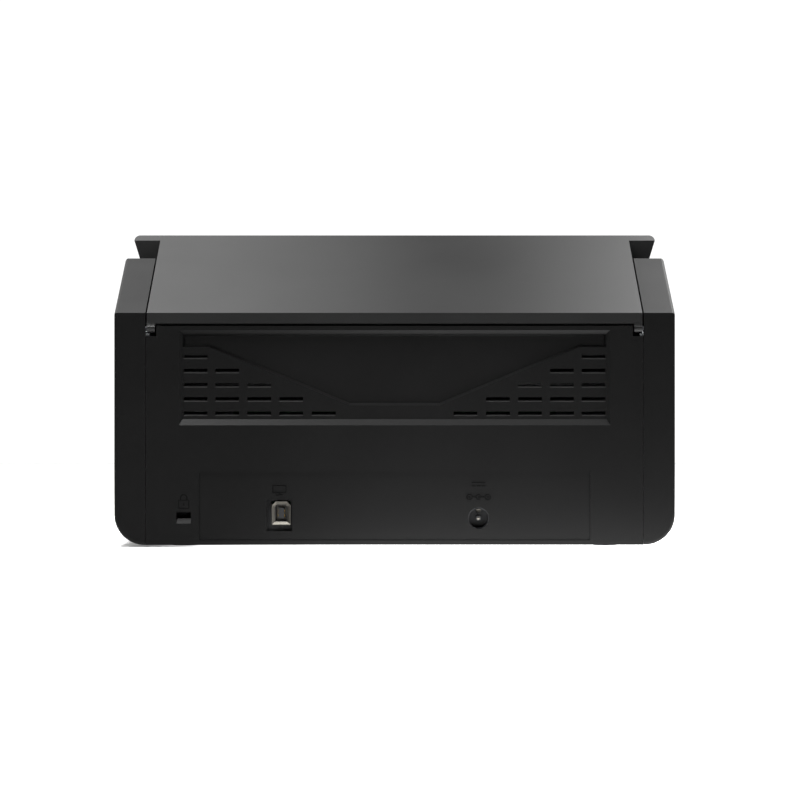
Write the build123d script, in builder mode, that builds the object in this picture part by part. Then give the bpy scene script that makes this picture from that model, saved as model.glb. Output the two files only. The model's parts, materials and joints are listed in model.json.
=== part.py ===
from build123d import *
import math
import os

os.makedirs("parts", exist_ok=True)

# Desktop sheet-fed document scanner, its top lid closed. Millimetres, +X right seen from the front,
# +Y to the rear, +Z up. The origin is on the table, under the middle of the machine.

# Case
width = 296.0  # across both side panels
rear_y = 84.4  # rear face
toe_z = 22.0  # below this the front is upright
foot_height = 0.8  # gap under the case
rear_top_z = 123.3  # rear edge of the sloping top
top_slope = 22.3  # rise of the top towards the front, degrees
peak_y = -28.5  # where the top meets the front slope
front_slope = 69.0  # front above the horizontal, degrees
arm_thickness = 16.5  # one side panel
wall = 2.4  # moulded walls
edge_round = 1.6  # outer edges of the side panels
bottom_round = 16.0  # lower outer edge of each side panel
toe_round = 6.0  # front lower edge
arm_end_y = 6.5  # front end of a side panel's sloping top
seam = 0.2  # between two fixed mouldings
play = 0.8  # beside the lid and the front cover
slip = 0.4  # between a sliding piece and its guide
fit = 0.05  # between a pin or shaft and its hole

# Rear cover
rear_wall = 2.5
rear_top = 116.4  # its upper edge
band_height = 2.2  # along its upper edge, over the sunk field
ear_notch_z = 111.0  # lower end of the notches for the lid's hinge ears
field_half_width = 113.7  # sunk field with the air slots
field_bottom_z = 65.4
field_depth = 1.8
field_ledge = 1.4  # extra height of the ledge along its lower edge
upper_depth = 4.1  # of the deeper part above the slots
slope_inset = 16.1  # top of the V-shaped ledge, from the side of the field
ledge_slope = 30.0  # from the depth
ledge_z = 105.1
valley_half_width = 24.0  # bottom of the V-shaped ledge
valley_z = 74.5
slot_length = 12.5
slot_height = 1.1
slot_bevel = 1.3  # under each slot
slot_step = 7.5
slot_row_z = 70.8  # lowest row
slot_columns = ((76.3, 1), (59.1, 2), (42.2, 3), (25.3, 4), (8.6, 5))  # from the side, and slots in each
bay_inset = 28.1  # sides of the shallow panel round the sockets
bay_bottom_z = 3.3
bay_top_z = 39.2
bay_depth = 0.8
usb_opening = (-60.8, 16.5)  # in the rear view, as its size
usb_opening_width = 13.4
usb_opening_height = 16.6
usb_x = 59.9
usb_z = 17.6
usb_width = 9.8  # metal shell
usb_height = 12.4
usb_set_back = 0.6  # behind the panel round the sockets
usb_flare = 1.4  # of its mouth
jack_x = -44.3
jack_z = 14.9
jack_radius = 5.6  # opening for the plug
jack_width = 15.0
lock_inset = 20.0  # from the side of the rear cover
lock_z = 16.6
lock_length = 7.7
lock_height = 3.3
lock_bevel = 2.8  # under the slot
lock_sink = 1.6  # depth of the bevel's upper edge

# Side frames
frame_thickness = 2.0
frame_drop = 10.4  # their upper edge below the top

frame_windows = (((30.0, 96.0), 34.0, 20.0), ((-26.0, 92.0), 30.0, 26.0), ((-42.0, 50.0), 22.0, 20.0))
boss_places = [(75.0, 12.0), (75.0, 92.0), (-20.0, 128.0), (-74.0, 12.0)]  # screws of the side panels
boss_radius = 3.4

# Lid, its hinge and its pull-out support
lip_drop = 5.6  # rear lip below the top's edge
lid_axis_y = 83.0
lid_axis_z = 115.2
lid_ear_radius = 2.2
lid_ear_width = 4.2
lid_pin_radius = 1.2
lid_pin_length = 9.0
lid_skin = 2.2
lid_depth = 9.0  # over skin and liner
liner_thickness = 2.0
crossbar_y = -20.5  # rear wall of the crossbar
wing_inset = 1.8  # wing tip inside the side panel's outer face
wing_taper = 17.0  # degrees
wing_round = 2.8
support_thickness = 3.0
support_half_width = 80.0
support_length = 103.0
lip_half_width = 22.0  # pull lip at its front end
lip_height = 4.0
lip_thickness = 2.0
lip_set_back = 2.5

# Paper path, a plane that falls towards the front
path_slope = 42.0
path_y = 76.0
path_z = 108.0
plate = 2.4  # chute and guide plates
chute_end = 66.0
guide_end = 130.0
paper_gap = 1.0

ridge_height = 0.6
ridge_width = 1.2
ridge_step = 16.0
ridge_start = 5.0

# Rollers, at distances along the path from its top
feed_at = 76.5
feed_radius = 10.0
feed_length = 40.0
transport_at = 92.5
transport_radius = 7.0
exit_at = 122.5
exit_radius = 6.5
roller_rise = 0.5  # of each driven roller above the plates
nip = 0.1  # between a driven roller and the one above it
shaft_radius = 3.0
tyre_places = (-88.0, -46.0, 46.0, 88.0)
tyre_length = 20.0
brake_radius = 8.0
transport_idler_radius = 6.0
exit_idler_radius = 4.5
idler_shaft_radius = 1.5
scan_at = 108.6
scan_width = 12.8
scan_height = 13.0
scan_inset = 12.3  # beside each scan unit
glass_thickness = 1.6

# Paper sensor: a flag that a sheet pushes down
flag_at = 84.5  # its pivot along the path
flag_place = 30.0
flag_drop = 6.0  # pivot below the path
flag_width = 3.0
flag_rise = 1.8  # tip above the path
flag_hub = 2.2
flag_pin = 1.0
flag_swing = 40.0

# Side guides, moved together by two racks and a pinion under the chute
guide_inset = 21.3  # beside the sheet, at rest
guide_travel = 65.0
guide_height = 16.0
guide_start = 12.0
guide_length = 46.0
guide_wall = 2.5
rack_at = 36.0  # the pinion's place along the path
gear_module = 1.0
pinion_teeth = 18
backlash = 0.15
rack_height = 4.0

# Front cover
cover_axis_y = -72.0
cover_axis_z = 24.0
cover_top_radius = 131.3  # its top, from its hinge
cover_top_y = -14.0  # rear end of its top
cover_bottom_z = 35.0
cover_wall = 2.2
cover_round = 1.2  # edges of its front face
cover_ear_radius = 5.0
cover_ear_width = 6.6
cover_pin_radius = 2.5
cover_pin_length = 16.0

# Buttons on the front cover: distance from its side, width and height
button_up = 92.0  # along the front from its lower edge
button_sizes = {"power_button": (24.7, 10.0, 10.0), "scan_button": (44.7, 18.0, 12.0),
                "stop_button": (66.7, 10.0, 10.0)}
button_stand = 0.8  # above the cover
button_gap = 0.3
button_travel = 0.8

# Output tray
tray_inset = 13.3  # beside the tray
tray_z = 13.2
tray_skin = 1.8
tray_rear_y = 0.0
tray_bottom_z = 3.8
extension_inset = 26.0
extension_rear_y = -6.0
extension_thickness = 2.5
stop_half_width = 28.0
stop_length = 9.5
stop_thickness = 1.8
stop_pin_radius = 0.8

# Base pan
foot_radius = 7.0
foot_inset = 17.3  # from the side, to the middle of a foot
foot_front = 18.0
foot_rear = 20.0
foot_thickness = 1.8
rib_step = 36.0
rib_width = 1.8
rib_depth = 1.0  # of the hollows between the ribs
rib_margin = 3.0
vent_step = 9.0
vent_length = 26.0
vent_width = 3.0
label_length = 90.0
label_width = 44.0
label_depth = 0.4

# Drive, in the left side panel
motor_y = 47.0
motor_z = 27.0
motor_size = 35.0
motor_length = 32.0
belt_pitch = 2.0
belt_width = 3.2
belt_layer = 3.9
belt_thickness = 1.3
belt_gap = 0.15

# Screw posts
post_radius = 3.6
post_hole = 8.0
post_inset = 11.3
post_low_z = 33.0
post_high_z = 56.0
screw_radius = 1.3
screw_through = 1.7  # hole that a screw passes freely

# Electronics
board_y = 68.0
board_thickness = 1.6
brace_thickness = 1.2
brace_gap = 1.6
brace_foot = 10.0
board_half_width = 86.0
board_low_z = 7.0
board_high_z = 72.0

# Derived places
arm_x = width / 2 - arm_thickness
inner_x = arm_x - seam
lid_x = arm_x - play
frame_x = arm_x - frame_thickness
floor_x = frame_x - seam
cover_x = frame_x - play
rise = math.tan(math.radians(top_slope))
steep = math.tan(math.radians(front_slope))
peak_z = rear_top_z + (rear_y - peak_y) * rise
front_y = peak_y - (peak_z - toe_z) / steep
wing_x = width / 2 - wing_inset
brace_y = board_y - brace_gap - brace_thickness
slope_half_width = field_half_width - slope_inset
bay_half_width = inner_x - bay_inset
lock_x = inner_x - lock_inset
post_x = floor_x - post_inset
bearer_x = cover_x - cover_wall - seam
scan_length = 2 * (bearer_x - scan_inset)
guide_face = floor_x - guide_inset
tray_half_width = floor_x - tray_inset
extension_half_width = tray_half_width - extension_inset
foot_x = floor_x - foot_inset
foot_places = [(x, y) for x in (-foot_x, foot_x) for y in (front_y + foot_front, rear_y - foot_rear)]
buttons = {name: (cover_x - inset, across, up) for name, (inset, across, up) in button_sizes.items()}


def top_z(y):
    return rear_top_z + (rear_y - y) * rise


def front_at(z):
    return peak_y - (peak_z - z) / steep


def path(along, above=0.0):
    # A point of the side view, from its distance along the paper path and its height above it.
    turn = math.radians(path_slope)
    return (path_y - along * math.cos(turn) - above * math.sin(turn),
            path_z - along * math.sin(turn) + above * math.cos(turn))


def section(points, x=0.0):
    # A closed outline in the side view, drawn at x.
    with BuildSketch(Plane.YZ.offset(x)) as shape:
        with BuildLine():
            Polyline(*points, close=True)
        make_face()
    return shape.sketch


def below_path(x, level=paper_gap):
    # Everything under a level above the paper path.
    with BuildSketch(Plane.YZ.offset(x)) as shape:
        with Locations(Location(path(0, level), path_slope)):
            Rectangle(2 * width, width, align=(Align.CENTER, Align.MAX))
    return shape.sketch


def disc(centre, radius, x=0.0):
    with BuildSketch(Plane.YZ.offset(x)) as shape:
        with Locations(centre):
            Circle(radius)
    return shape.sketch


def flat(sketch, x):
    # A side view sketch in the coordinates of its own plane.
    return Plane.YZ.offset(x).to_local_coords(sketch)


def save(built, name):
    built.part.label = name
    export_step(built.part, f"parts/{name}.step")


rear_plane = Plane(origin=(0, rear_y, 0), x_dir=(-1, 0, 0), z_dir=(0, 1, 0))
front_plane = Plane(origin=(0, front_at(cover_bottom_z), cover_bottom_z), x_dir=(1, 0, 0),
                    z_dir=(0, -math.sin(math.radians(front_slope)), math.cos(math.radians(front_slope))))
path_plane = Plane(origin=(0, path_y, path_z), x_dir=(1, 0, 0),
                   z_dir=(0, -math.sin(math.radians(path_slope)), math.cos(math.radians(path_slope))))
lid_axis = (lid_axis_y, lid_axis_z)
cover_axis = (cover_axis_y, cover_axis_z)
feed_centre = path(feed_at, roller_rise - feed_radius)
transport_centre = path(transport_at, roller_rise - transport_radius)
exit_centre = path(exit_at, roller_rise - exit_radius)
motor_centre = (motor_y, motor_z)

# Side panels: hollow arms whose open inner side is closed by the side frames.
case_outline = [(rear_y, foot_height), (rear_y, rear_top_z), (peak_y, peak_z),
                (front_y, toe_z), (front_y, foot_height)]


def panel_sketch(x, inset=0.0):
    # The arm's side view: under the lid's wing its edge is round the front cover's hinge.
    with BuildSketch(Plane.YZ.offset(x)) as shape:
        with BuildLine():
            Polyline(*case_outline, close=True)
        make_face()
        with BuildSketch(Plane.YZ.offset(x), mode=Mode.SUBTRACT):
            with Locations((arm_end_y, peak_z)):
                Rectangle(width, rear_top_z, align=(Align.MAX, Align.CENTER))
            with Locations(cover_axis):
                Circle(cover_top_radius, mode=Mode.SUBTRACT)
        if inset:
            offset(amount=-inset)
    return shape.sketch


def arm_block(inset=0.0):
    # The arm as a solid, or the hollow inside it.
    with BuildPart() as block:
        extrude(panel_sketch(arm_x, inset), amount=arm_thickness - inset)
        face = block.faces().sort_by(Axis.X)[-1]
        fillet(face.edges().filter_by(Axis.Y).sort_by(Axis.Z)[0], bottom_round - inset)
        toe = block.edges().filter_by(Axis.X).group_by(Axis.Y)[0].sort_by(Axis.Z)[0]
        fillet(toe, toe_round - inset)
        if not inset:
            fillet(block.faces().sort_by(Axis.X)[-1].edges(), edge_round)
    return block.part


with BuildPart() as side_panel_right:
    add(arm_block())
    add(arm_block(wall), mode=Mode.SUBTRACT)
    # Inner wall: a rim round the window that the side frame closes.
    extrude(panel_sketch(arm_x, wall / 2), amount=wall)
    extrude(panel_sketch(arm_x, frame_drop + wall), amount=wall, mode=Mode.SUBTRACT)
    with Locations((arm_x, lid_axis_y, lid_axis_z)):
        Cylinder(lid_pin_radius + wall, lid_pin_length, rotation=(0, 90, 0),
                 align=(Align.CENTER, Align.CENTER, Align.MIN))
        Cylinder(lid_pin_radius, lid_pin_length, rotation=(0, 90, 0), mode=Mode.SUBTRACT,
                 align=(Align.CENTER, Align.CENTER, Align.MIN))
    # Screw bosses.
    with BuildSketch(Plane.YZ.offset(arm_x)):
        with Locations(*boss_places):
            Circle(boss_radius)
    extrude(amount=arm_thickness)
    with BuildSketch(Plane.YZ.offset(arm_x)):
        with Locations(*boss_places):
            Circle(screw_radius)
    extrude(amount=post_hole, mode=Mode.SUBTRACT)
    add(arm_block(), mode=Mode.INTERSECT)
    with Locations((arm_x, cover_axis_y, cover_axis_z)):
        Cylinder(cover_pin_radius, 3 * wall, rotation=(0, 90, 0), mode=Mode.SUBTRACT)
save(side_panel_right, "side_panel_right")

with BuildPart() as side_panel_left:
    mirror(side_panel_right.part, about=Plane.YZ)
save(side_panel_left, "side_panel_left")

# Side frames: steel plates that carry the shafts and close the arms.
def below_lid(depth, x):
    # The space of the lid down to a depth under the sloping top.
    with BuildSketch(Plane.YZ.offset(x)) as shape:
        with Locations(Location((rear_y, rear_top_z), -top_slope)):
            with Locations((0, -depth)):
                Rectangle(2 * width, width, align=(Align.CENTER, Align.MIN))
    return shape.sketch


shaft_centres = (feed_centre, transport_centre, exit_centre)
bush_radius = shaft_radius + 1.5
motor_boss = 11.0
with BuildPart() as side_frame_right:
    extrude(panel_sketch(frame_x, wall + seam), amount=frame_thickness)
    extrude(below_lid(frame_drop, frame_x), amount=frame_thickness, mode=Mode.SUBTRACT)
    for centre in shaft_centres:
        extrude(disc(centre, bush_radius, frame_x), amount=frame_thickness, mode=Mode.SUBTRACT)
    extrude(disc(cover_axis, cover_pin_radius, frame_x), amount=frame_thickness, mode=Mode.SUBTRACT)
    extrude(disc(lid_axis, lid_ear_radius + play, frame_x), amount=frame_thickness, mode=Mode.SUBTRACT)
    # Windows that lighten the plate, and the screw holes over the panel's bosses.
    with BuildSketch(Plane.YZ.offset(frame_x)):
        for place, across, up in frame_windows:
            with Locations(place):
                RectangleRounded(across, up, 4.0)
        with Locations(*boss_places):
            Circle(screw_through)
    extrude(amount=frame_thickness, mode=Mode.SUBTRACT)

with BuildPart() as side_frame_left:
    mirror(side_frame_right.part, about=Plane.YZ)
    extrude(disc(motor_centre, motor_boss, -arm_x), amount=frame_thickness, mode=Mode.SUBTRACT)
save(side_frame_right, "side_frame_right")
save(side_frame_left, "side_frame_left")

bush_flange = 0.8
with BuildPart() as shaft_bushes:
    for side in (1, -1):
        for centre in shaft_centres:
            inside = min(side * frame_x, side * (arm_x + bush_flange))
            rim = min(side * arm_x, side * (arm_x + bush_flange))
            extrude(disc(centre, bush_radius, inside), amount=frame_thickness + bush_flange)
            extrude(disc(centre, bush_radius + 1.5, rim), amount=bush_flange)
            extrude(disc(centre, shaft_radius + fit, inside), amount=frame_thickness + bush_flange,
                    mode=Mode.SUBTRACT)
save(shaft_bushes, "shaft_bushes")

with BuildPart() as cover_hinge_pins:
    for side in (1, -1):
        start = min(side * (arm_x + 3 * wall - cover_pin_length), side * (arm_x + 3 * wall))
        extrude(disc(cover_axis, cover_pin_radius, start), amount=cover_pin_length)
save(cover_hinge_pins, "cover_hinge_pins")

lid_ear_x = lid_x - lid_ear_width
with BuildPart() as lid_hinge_pins:
    for side in (1, -1):
        start = min(side * (lid_ear_x + 1.0), side * (arm_x + lid_pin_length))
        extrude(disc(lid_axis, lid_pin_radius, start), amount=arm_x + lid_pin_length - lid_ear_x - 1.0)
save(lid_hinge_pins, "lid_hinge_pins")

# Rear cover with its sunk field of air slots and the panel round the sockets.
field_wall = rear_wall - field_depth + upper_depth
opening_depth = 2 * field_wall
band_z = rear_top - band_height
post_places = [(side * post_x, z) for side in (1, -1) for z in (post_low_z, post_high_z)]
with BuildPart() as rear_cover:
    with BuildSketch(rear_plane):
        with Locations((0, foot_height)):
            Rectangle(2 * inner_x, rear_top - foot_height, align=(Align.CENTER, Align.MIN))
    extrude(amount=-rear_wall)
    with BuildSketch(rear_plane.offset(-rear_wall)):
        with Locations((0, field_bottom_z - rear_wall)):
            Rectangle(2 * (field_half_width + rear_wall), rear_top - field_bottom_z + rear_wall,
                      align=(Align.CENTER, Align.MIN))
    extrude(amount=-upper_depth)
    # Sunk field with sloping ledges, and the deeper part above the V.
    with BuildSketch(rear_plane):
        with Locations((0, field_bottom_z)):
            Rectangle(2 * field_half_width, band_z - field_bottom_z, align=(Align.CENTER, Align.MIN))
    extrude(amount=-field_depth, taper=45, mode=Mode.SUBTRACT)
    with BuildSketch(rear_plane.offset(-field_depth)):
        with BuildLine():
            Polyline((-field_half_width + field_depth, ledge_z), (-slope_half_width, ledge_z),
                     (-valley_half_width, valley_z), (valley_half_width, valley_z),
                     (slope_half_width, ledge_z), (field_half_width - field_depth, ledge_z),
                     (field_half_width - field_depth, band_z - field_depth),
                     (-field_half_width + field_depth, band_z - field_depth), close=True)
        make_face()
    extrude(amount=field_depth - upper_depth, taper=ledge_slope, mode=Mode.SUBTRACT)
    # Steeper ledge along the lower edge, and a hollow behind the slots that keeps the wall even.
    floor_y = rear_y - field_depth
    extrude(section([(rear_y, field_bottom_z - field_ledge), (rear_y, field_bottom_z),
                     (floor_y, field_bottom_z + field_depth)], -field_half_width),
            amount=2 * field_half_width, mode=Mode.SUBTRACT)
    with BuildSketch(rear_plane.offset(-upper_depth - rear_wall)):
        with BuildLine():
            Polyline((-field_half_width, field_bottom_z), (field_half_width, field_bottom_z),
                     (field_half_width, ledge_z), (slope_half_width, ledge_z), (valley_half_width, valley_z),
                     (-valley_half_width, valley_z), (-slope_half_width, ledge_z),
                     (-field_half_width, ledge_z), close=True)
        make_face()
        offset(amount=-rear_wall, kind=Kind.INTERSECTION)
    extrude(amount=upper_depth - field_depth, mode=Mode.SUBTRACT)
    # Air slots, each with a bevel under it.
    for inset, count in slot_columns:
        for row in range(count):
            low = slot_row_z + row * slot_step - slot_height / 2
            slot = [(rear_y, low - slot_bevel), (floor_y, low - slot_bevel), (floor_y - slot_bevel, low),
                    (rear_y - opening_depth, low), (rear_y - opening_depth, low + slot_height),
                    (rear_y, low + slot_height)]
            for side in (1, -1):
                start = side * (field_half_width - inset) - slot_length / 2
                extrude(section(slot, start), amount=slot_length, mode=Mode.SUBTRACT)
    # Posts that stand on the brace of the main board.
    with BuildSketch(rear_plane.offset(-rear_wall)):
        with Locations(*post_places):
            Circle(post_radius)
    extrude(amount=board_y - brace_gap - rear_y + rear_wall)
    with BuildSketch(rear_plane.offset(board_y - brace_gap - rear_y)):
        with Locations(*post_places):
            Circle(screw_radius)
    extrude(amount=post_hole, mode=Mode.SUBTRACT)
    # Panel round the sockets.
    with BuildSketch(rear_plane):
        with Locations((0, (bay_bottom_z + bay_top_z) / 2)):
            Rectangle(2 * bay_half_width, bay_top_z - bay_bottom_z)
    extrude(amount=-bay_depth, mode=Mode.SUBTRACT)
    with BuildSketch(rear_plane):
        with Locations(usb_opening):
            Rectangle(usb_opening_width, usb_opening_height)
        with Locations((-jack_x, jack_z)):
            Circle(jack_radius)
    extrude(amount=-2 * rear_wall, mode=Mode.SUBTRACT)
    # Lock slot with a bevel under it.
    low = lock_z - lock_height / 2
    extrude(section([(rear_y, low - lock_bevel), (rear_y - lock_sink, low), (rear_y - 2 * rear_wall, low),
                     (rear_y - 2 * rear_wall, low + lock_height), (rear_y, low + lock_height)],
                    lock_x - lock_length / 2), amount=lock_length, mode=Mode.SUBTRACT)
    # Notches for the lid's hinge ears.
    for side in (1, -1):
        with BuildSketch(rear_plane):
            with Locations((side * inner_x, ear_notch_z)):
                Rectangle(2 * (inner_x - lid_ear_x + play), rear_top, align=(Align.CENTER, Align.MIN))
        extrude(amount=-rear_wall, mode=Mode.SUBTRACT)
save(rear_cover, "rear_cover")

# Top lid: a tray hinged at the rear, with a crossbar along its front that overhangs the arms.
support_drop = lid_skin + slip
crossbar_gap = 1.5 * play
lip_front = front_at(peak_z - support_drop) + lip_set_back
lip_low = support_drop + support_thickness + lip_height


def crossbar_section(x, inset=0.0):
    with BuildSketch(Plane.YZ.offset(x)) as shape:
        with BuildLine():
            Polyline((crossbar_y, cover_axis_z), (crossbar_y, top_z(crossbar_y)), (peak_y, peak_z),
                     (front_at(cover_axis_z), cover_axis_z), close=True)
        make_face()
        with Locations(cover_axis):
            Circle(cover_top_radius + crossbar_gap, mode=Mode.SUBTRACT)
        if inset:
            offset(amount=-inset)
    return shape.sketch


def under_top(near, far, back, front, x):
    # Between two depths square to the sloping top, cut upright at its back and front.
    slant = math.cos(math.radians(top_slope))
    return section([(back, top_z(back) - near / slant), (front, top_z(front) - near / slant),
                    (front, top_z(front) - far / slant), (back, top_z(back) - far / slant)], x)


with BuildPart() as lid_shell:
    # Crossbar, its ends leaning inwards.
    extrude(crossbar_section(-wing_x), amount=2 * wing_x)
    lean = peak_z * math.tan(math.radians(wing_taper))
    with BuildSketch(Plane.XZ):
        with BuildLine():
            Polyline((-wing_x, peak_z), (wing_x, peak_z), (wing_x - lean, 0), (-wing_x + lean, 0), close=True)
        make_face()
        fillet(vertices().group_by(Axis.Y)[-1], wing_round)
    extrude(amount=width, both=True, mode=Mode.INTERSECT)
    # Open pockets under the crossbar.
    pocket_count = 6
    pocket = 2 * (lid_x - lid_skin) / pocket_count
    pocket_depth = lid_skin + 2 * slip + support_thickness + lid_skin
    for index in range(pocket_count):
        start = -lid_x + 1.5 * lid_skin + index * pocket
        with BuildSketch(Plane.YZ.offset(start)):
            hollow = flat(crossbar_section(start, lid_skin), start)
            add(hollow)
            with Locations((0, -lid_skin)):
                add(hollow)
            add(flat(under_top(-width, pocket_depth, rear_y, -rear_y, start), start), mode=Mode.SUBTRACT)
        extrude(amount=pocket - lid_skin, mode=Mode.SUBTRACT)
    # Skin and side flanges.
    extrude(under_top(0, lid_skin, rear_y, crossbar_y, -lid_x), amount=2 * lid_x)
    for side in (1, -1):
        start = min(side * lid_x, side * (lid_x - lid_skin))
        extrude(under_top(0, lid_depth, lid_axis_y, crossbar_y, start), amount=lid_skin)
    # Rear lip and hinge ears.
    with BuildSketch(Plane.YZ.offset(-lid_x)):
        with BuildLine():
            Polyline((rear_y, rear_top_z), (rear_y, rear_top_z - lip_drop),
                     (rear_y - lid_skin, rear_top_z - lip_drop), (rear_y - lid_skin, top_z(rear_y)), close=True)
        make_face()
    extrude(amount=2 * lid_x)
    for side in (1, -1):
        start = min(side * lid_x, side * lid_ear_x)
        ear = [(lid_axis_y - lid_ear_radius, lid_axis_z), (lid_axis_y + lid_ear_radius, lid_axis_z),
               (rear_y, rear_top_z - lip_drop), (rear_y, rear_top_z - lid_skin),
               (lid_axis_y - lid_ear_radius, rear_top_z - lid_skin)]
        extrude(section(ear, start), amount=lid_ear_width)
        extrude(disc(lid_axis, lid_ear_radius, start), amount=lid_ear_width)
        hole = min(side * lid_x, side * (lid_ear_x + 1.0 - slip))
        extrude(disc(lid_axis, lid_pin_radius + fit, hole), amount=lid_x - lid_ear_x - 1.0 + slip,
                mode=Mode.SUBTRACT)
    # Slot for the pull-out support, through the front of the crossbar.
    start = support_half_width + slip
    extrude(under_top(lid_skin, lid_skin + support_thickness + 2 * slip, crossbar_y + seam, -rear_y, -start),
            amount=2 * start, mode=Mode.SUBTRACT)
    notch = lip_half_width + 2 * slip
    extrude(under_top(lid_skin, lip_low + slip, lip_front + lip_thickness + slip, -rear_y, -notch),
            amount=2 * notch, mode=Mode.SUBTRACT)
save(lid_shell, "lid_shell")

liner_rear_y = lid_axis_y - 3 * lid_ear_radius
with BuildPart() as lid_liner:
    start = lid_x - lid_skin
    extrude(under_top(lid_depth - liner_thickness, lid_depth, liner_rear_y, crossbar_y + seam, -start),
            amount=2 * start)
    # Ridges that carry the sheets when the lid is up.
    for index in range(7):
        ridge = (index - 3) * 2 * ridge_step - ridge_width / 2
        extrude(under_top(lid_depth, lid_depth + ridge_height, liner_rear_y - 2, crossbar_y + 2, ridge),
                amount=ridge_width)
    # Ribs that carry the skin and guide the support.
    for side in (1, -1):
        inner = support_half_width + slip
        rib = min(side * inner, side * (inner + lid_skin))
        extrude(under_top(lid_skin, lid_depth, liner_rear_y, crossbar_y + seam, rib), amount=lid_skin)
save(lid_liner, "lid_liner")

with BuildPart() as lid_support:
    support_back = peak_y + support_length * math.cos(math.radians(top_slope))
    extrude(under_top(support_drop, support_drop + support_thickness, support_back, -rear_y,
                      -support_half_width), amount=2 * support_half_width)
    with BuildSketch(Plane.YZ.offset(-support_half_width)):
        with BuildLine():
            Polyline((width, rear_top_z), (width, peak_z), (peak_y, peak_z), (front_at(rear_top_z), rear_top_z),
                     close=True)
        make_face()
    extrude(amount=2 * support_half_width, mode=Mode.INTERSECT)
    # Pull lip behind the front face, in a notch of the crossbar.
    extrude(under_top(support_drop, lip_low, lip_front + lip_thickness, lip_front, -lip_half_width),
            amount=2 * lip_half_width)
save(lid_support, "lid_support")

# Paper chute with slots for the side guides, and the L-shaped rails of their racks.
pitch_radius = gear_module * pinion_teeth / 2
addendum = gear_module
dedendum = 1.25 * gear_module
rack_back = pitch_radius + dedendum + 3.0
stem_thickness = 2.5
stem_width = 12.0
rack_top = -plate - slip
rail_wall = 1.6
pivot_radius = 2.5
pivot_head = 1.2
chute_flange = 10.0
chute_rear = rear_y - field_depth - field_wall - seam


def plate_points(start, end, thickness):
    return [path(start), path(start, -thickness), path(end, -thickness), path(end)]


with BuildPart() as paper_chute:
    corner = path(0.5 * plate, -plate)
    extrude(section([path(0), (chute_rear, path_z), (chute_rear, path_z - chute_flange),
                     (corner[0], path_z - chute_flange), corner, path(chute_end, -plate), path(chute_end)],
                    -floor_x), amount=2 * floor_x)
    # Low ridges under the sheets, between the guides when they are closest.
    with BuildSketch(path_plane):
        with Locations((0, -(ridge_start + chute_end) / 2)):
            with GridLocations(ridge_step, 1, 5, 1):
                Rectangle(ridge_width, chute_end - ridge_start - 2)
    extrude(amount=ridge_height)
    # Slots of the guides' stems.
    with BuildSketch(path_plane):
        for side in (1, -1):
            reach = stem_width + guide_travel + 2 * slip
            with Locations((side * (guide_face + 2 + stem_width + slip - reach / 2),
                            -rack_at - side * (rack_back - stem_thickness / 2))):
                Rectangle(reach, stem_thickness + 2 * slip)
    extrude(amount=-2 * plate, mode=Mode.SUBTRACT)
    # Pivot of the pinion and rails of the racks.
    with BuildSketch(path_plane.offset(-plate)):
        with Locations((0, -rack_at)):
            Circle(pivot_radius)
    extrude(amount=-slip - rack_height - slip)
    with BuildSketch(path_plane.offset(rack_top - rack_height - slip)):
        with Locations((0, -rack_at)):
            Circle(pivot_radius + 1.5)
    extrude(amount=-pivot_head)
    for side in (1, -1):
        for offset_x in (-floor_x / 2, floor_x / 2):
            with BuildSketch(path_plane.offset(-plate)):
                with Locations((offset_x, -rack_at - side * (rack_back + slip + rail_wall / 2))):
                    Rectangle(floor_x * 0.6, rail_wall)
            extrude(amount=-slip - rack_height - slip - rail_wall)
            with BuildSketch(path_plane.offset(rack_top - rack_height - slip)):
                with Locations((offset_x, -rack_at - side * (rack_back + slip - rail_wall / 2))):
                    Rectangle(floor_x * 0.6, 3 * rail_wall)
            extrude(amount=-rail_wall)
save(paper_chute, "paper_chute")

# Side guides with their racks.
pressure = math.radians(20)
tooth_half = math.pi * gear_module / 4 - backlash / 2
rack_reach = math.ceil((guide_travel + 4 * gear_module) / (math.pi * gear_module))


def guide(side):
    with BuildPart() as built:
        # Upright wall, its foot and the stem through the chute.
        with BuildSketch(path_plane.offset(slip)):
            with Locations((side * (guide_face + guide_wall / 2), -guide_start - guide_length / 2)):
                RectangleRounded(guide_wall, guide_length, guide_wall / 3)
        extrude(amount=guide_height - slip)
        with BuildSketch(path_plane.offset(slip)):
            with Locations((side * (guide_face + (stem_width + 4) / 2), -guide_start - guide_length / 2)):
                RectangleRounded(stem_width + 4, guide_length, 2.0)
        extrude(amount=guide_wall)
        with BuildSketch(path_plane.offset(slip)):
            with Locations((side * (guide_face + 2 + stem_width / 2),
                            -rack_at - side * (rack_back - stem_thickness / 2))):
                Rectangle(stem_width, stem_thickness)
        extrude(amount=rack_top - slip - rack_height)
        # Rack: a bar with straight-sided teeth towards the pinion.
        with BuildSketch(path_plane.offset(rack_top)):
            inner = -4 * gear_module
            outer = guide_face + 2 + stem_width
            with Locations((side * (inner + outer) / 2,
                            -rack_at - side * (pitch_radius + dedendum + rack_back) / 2)):
                Rectangle(outer - inner, rack_back - pitch_radius - dedendum)
            root = tooth_half + dedendum * math.tan(pressure)
            tip = tooth_half - addendum * math.tan(pressure)
            for tooth in range(rack_reach + 1):
                middle = side * tooth * math.pi * gear_module
                near = -rack_at - side * (pitch_radius - addendum)
                far = -rack_at - side * (pitch_radius + dedendum + 0.2)
                with BuildLine():
                    Polyline((middle - root, far), (middle + root, far), (middle + tip, near),
                             (middle - tip, near), close=True)
                make_face()
        extrude(amount=-rack_height)
    return built


guide_right = guide(1)
guide_left = guide(-1)
save(guide_right, "guide_right")
save(guide_left, "guide_left")

base_radius = pitch_radius * math.cos(pressure)
tip_radius = pitch_radius + addendum
root_radius = pitch_radius - dedendum


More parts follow.
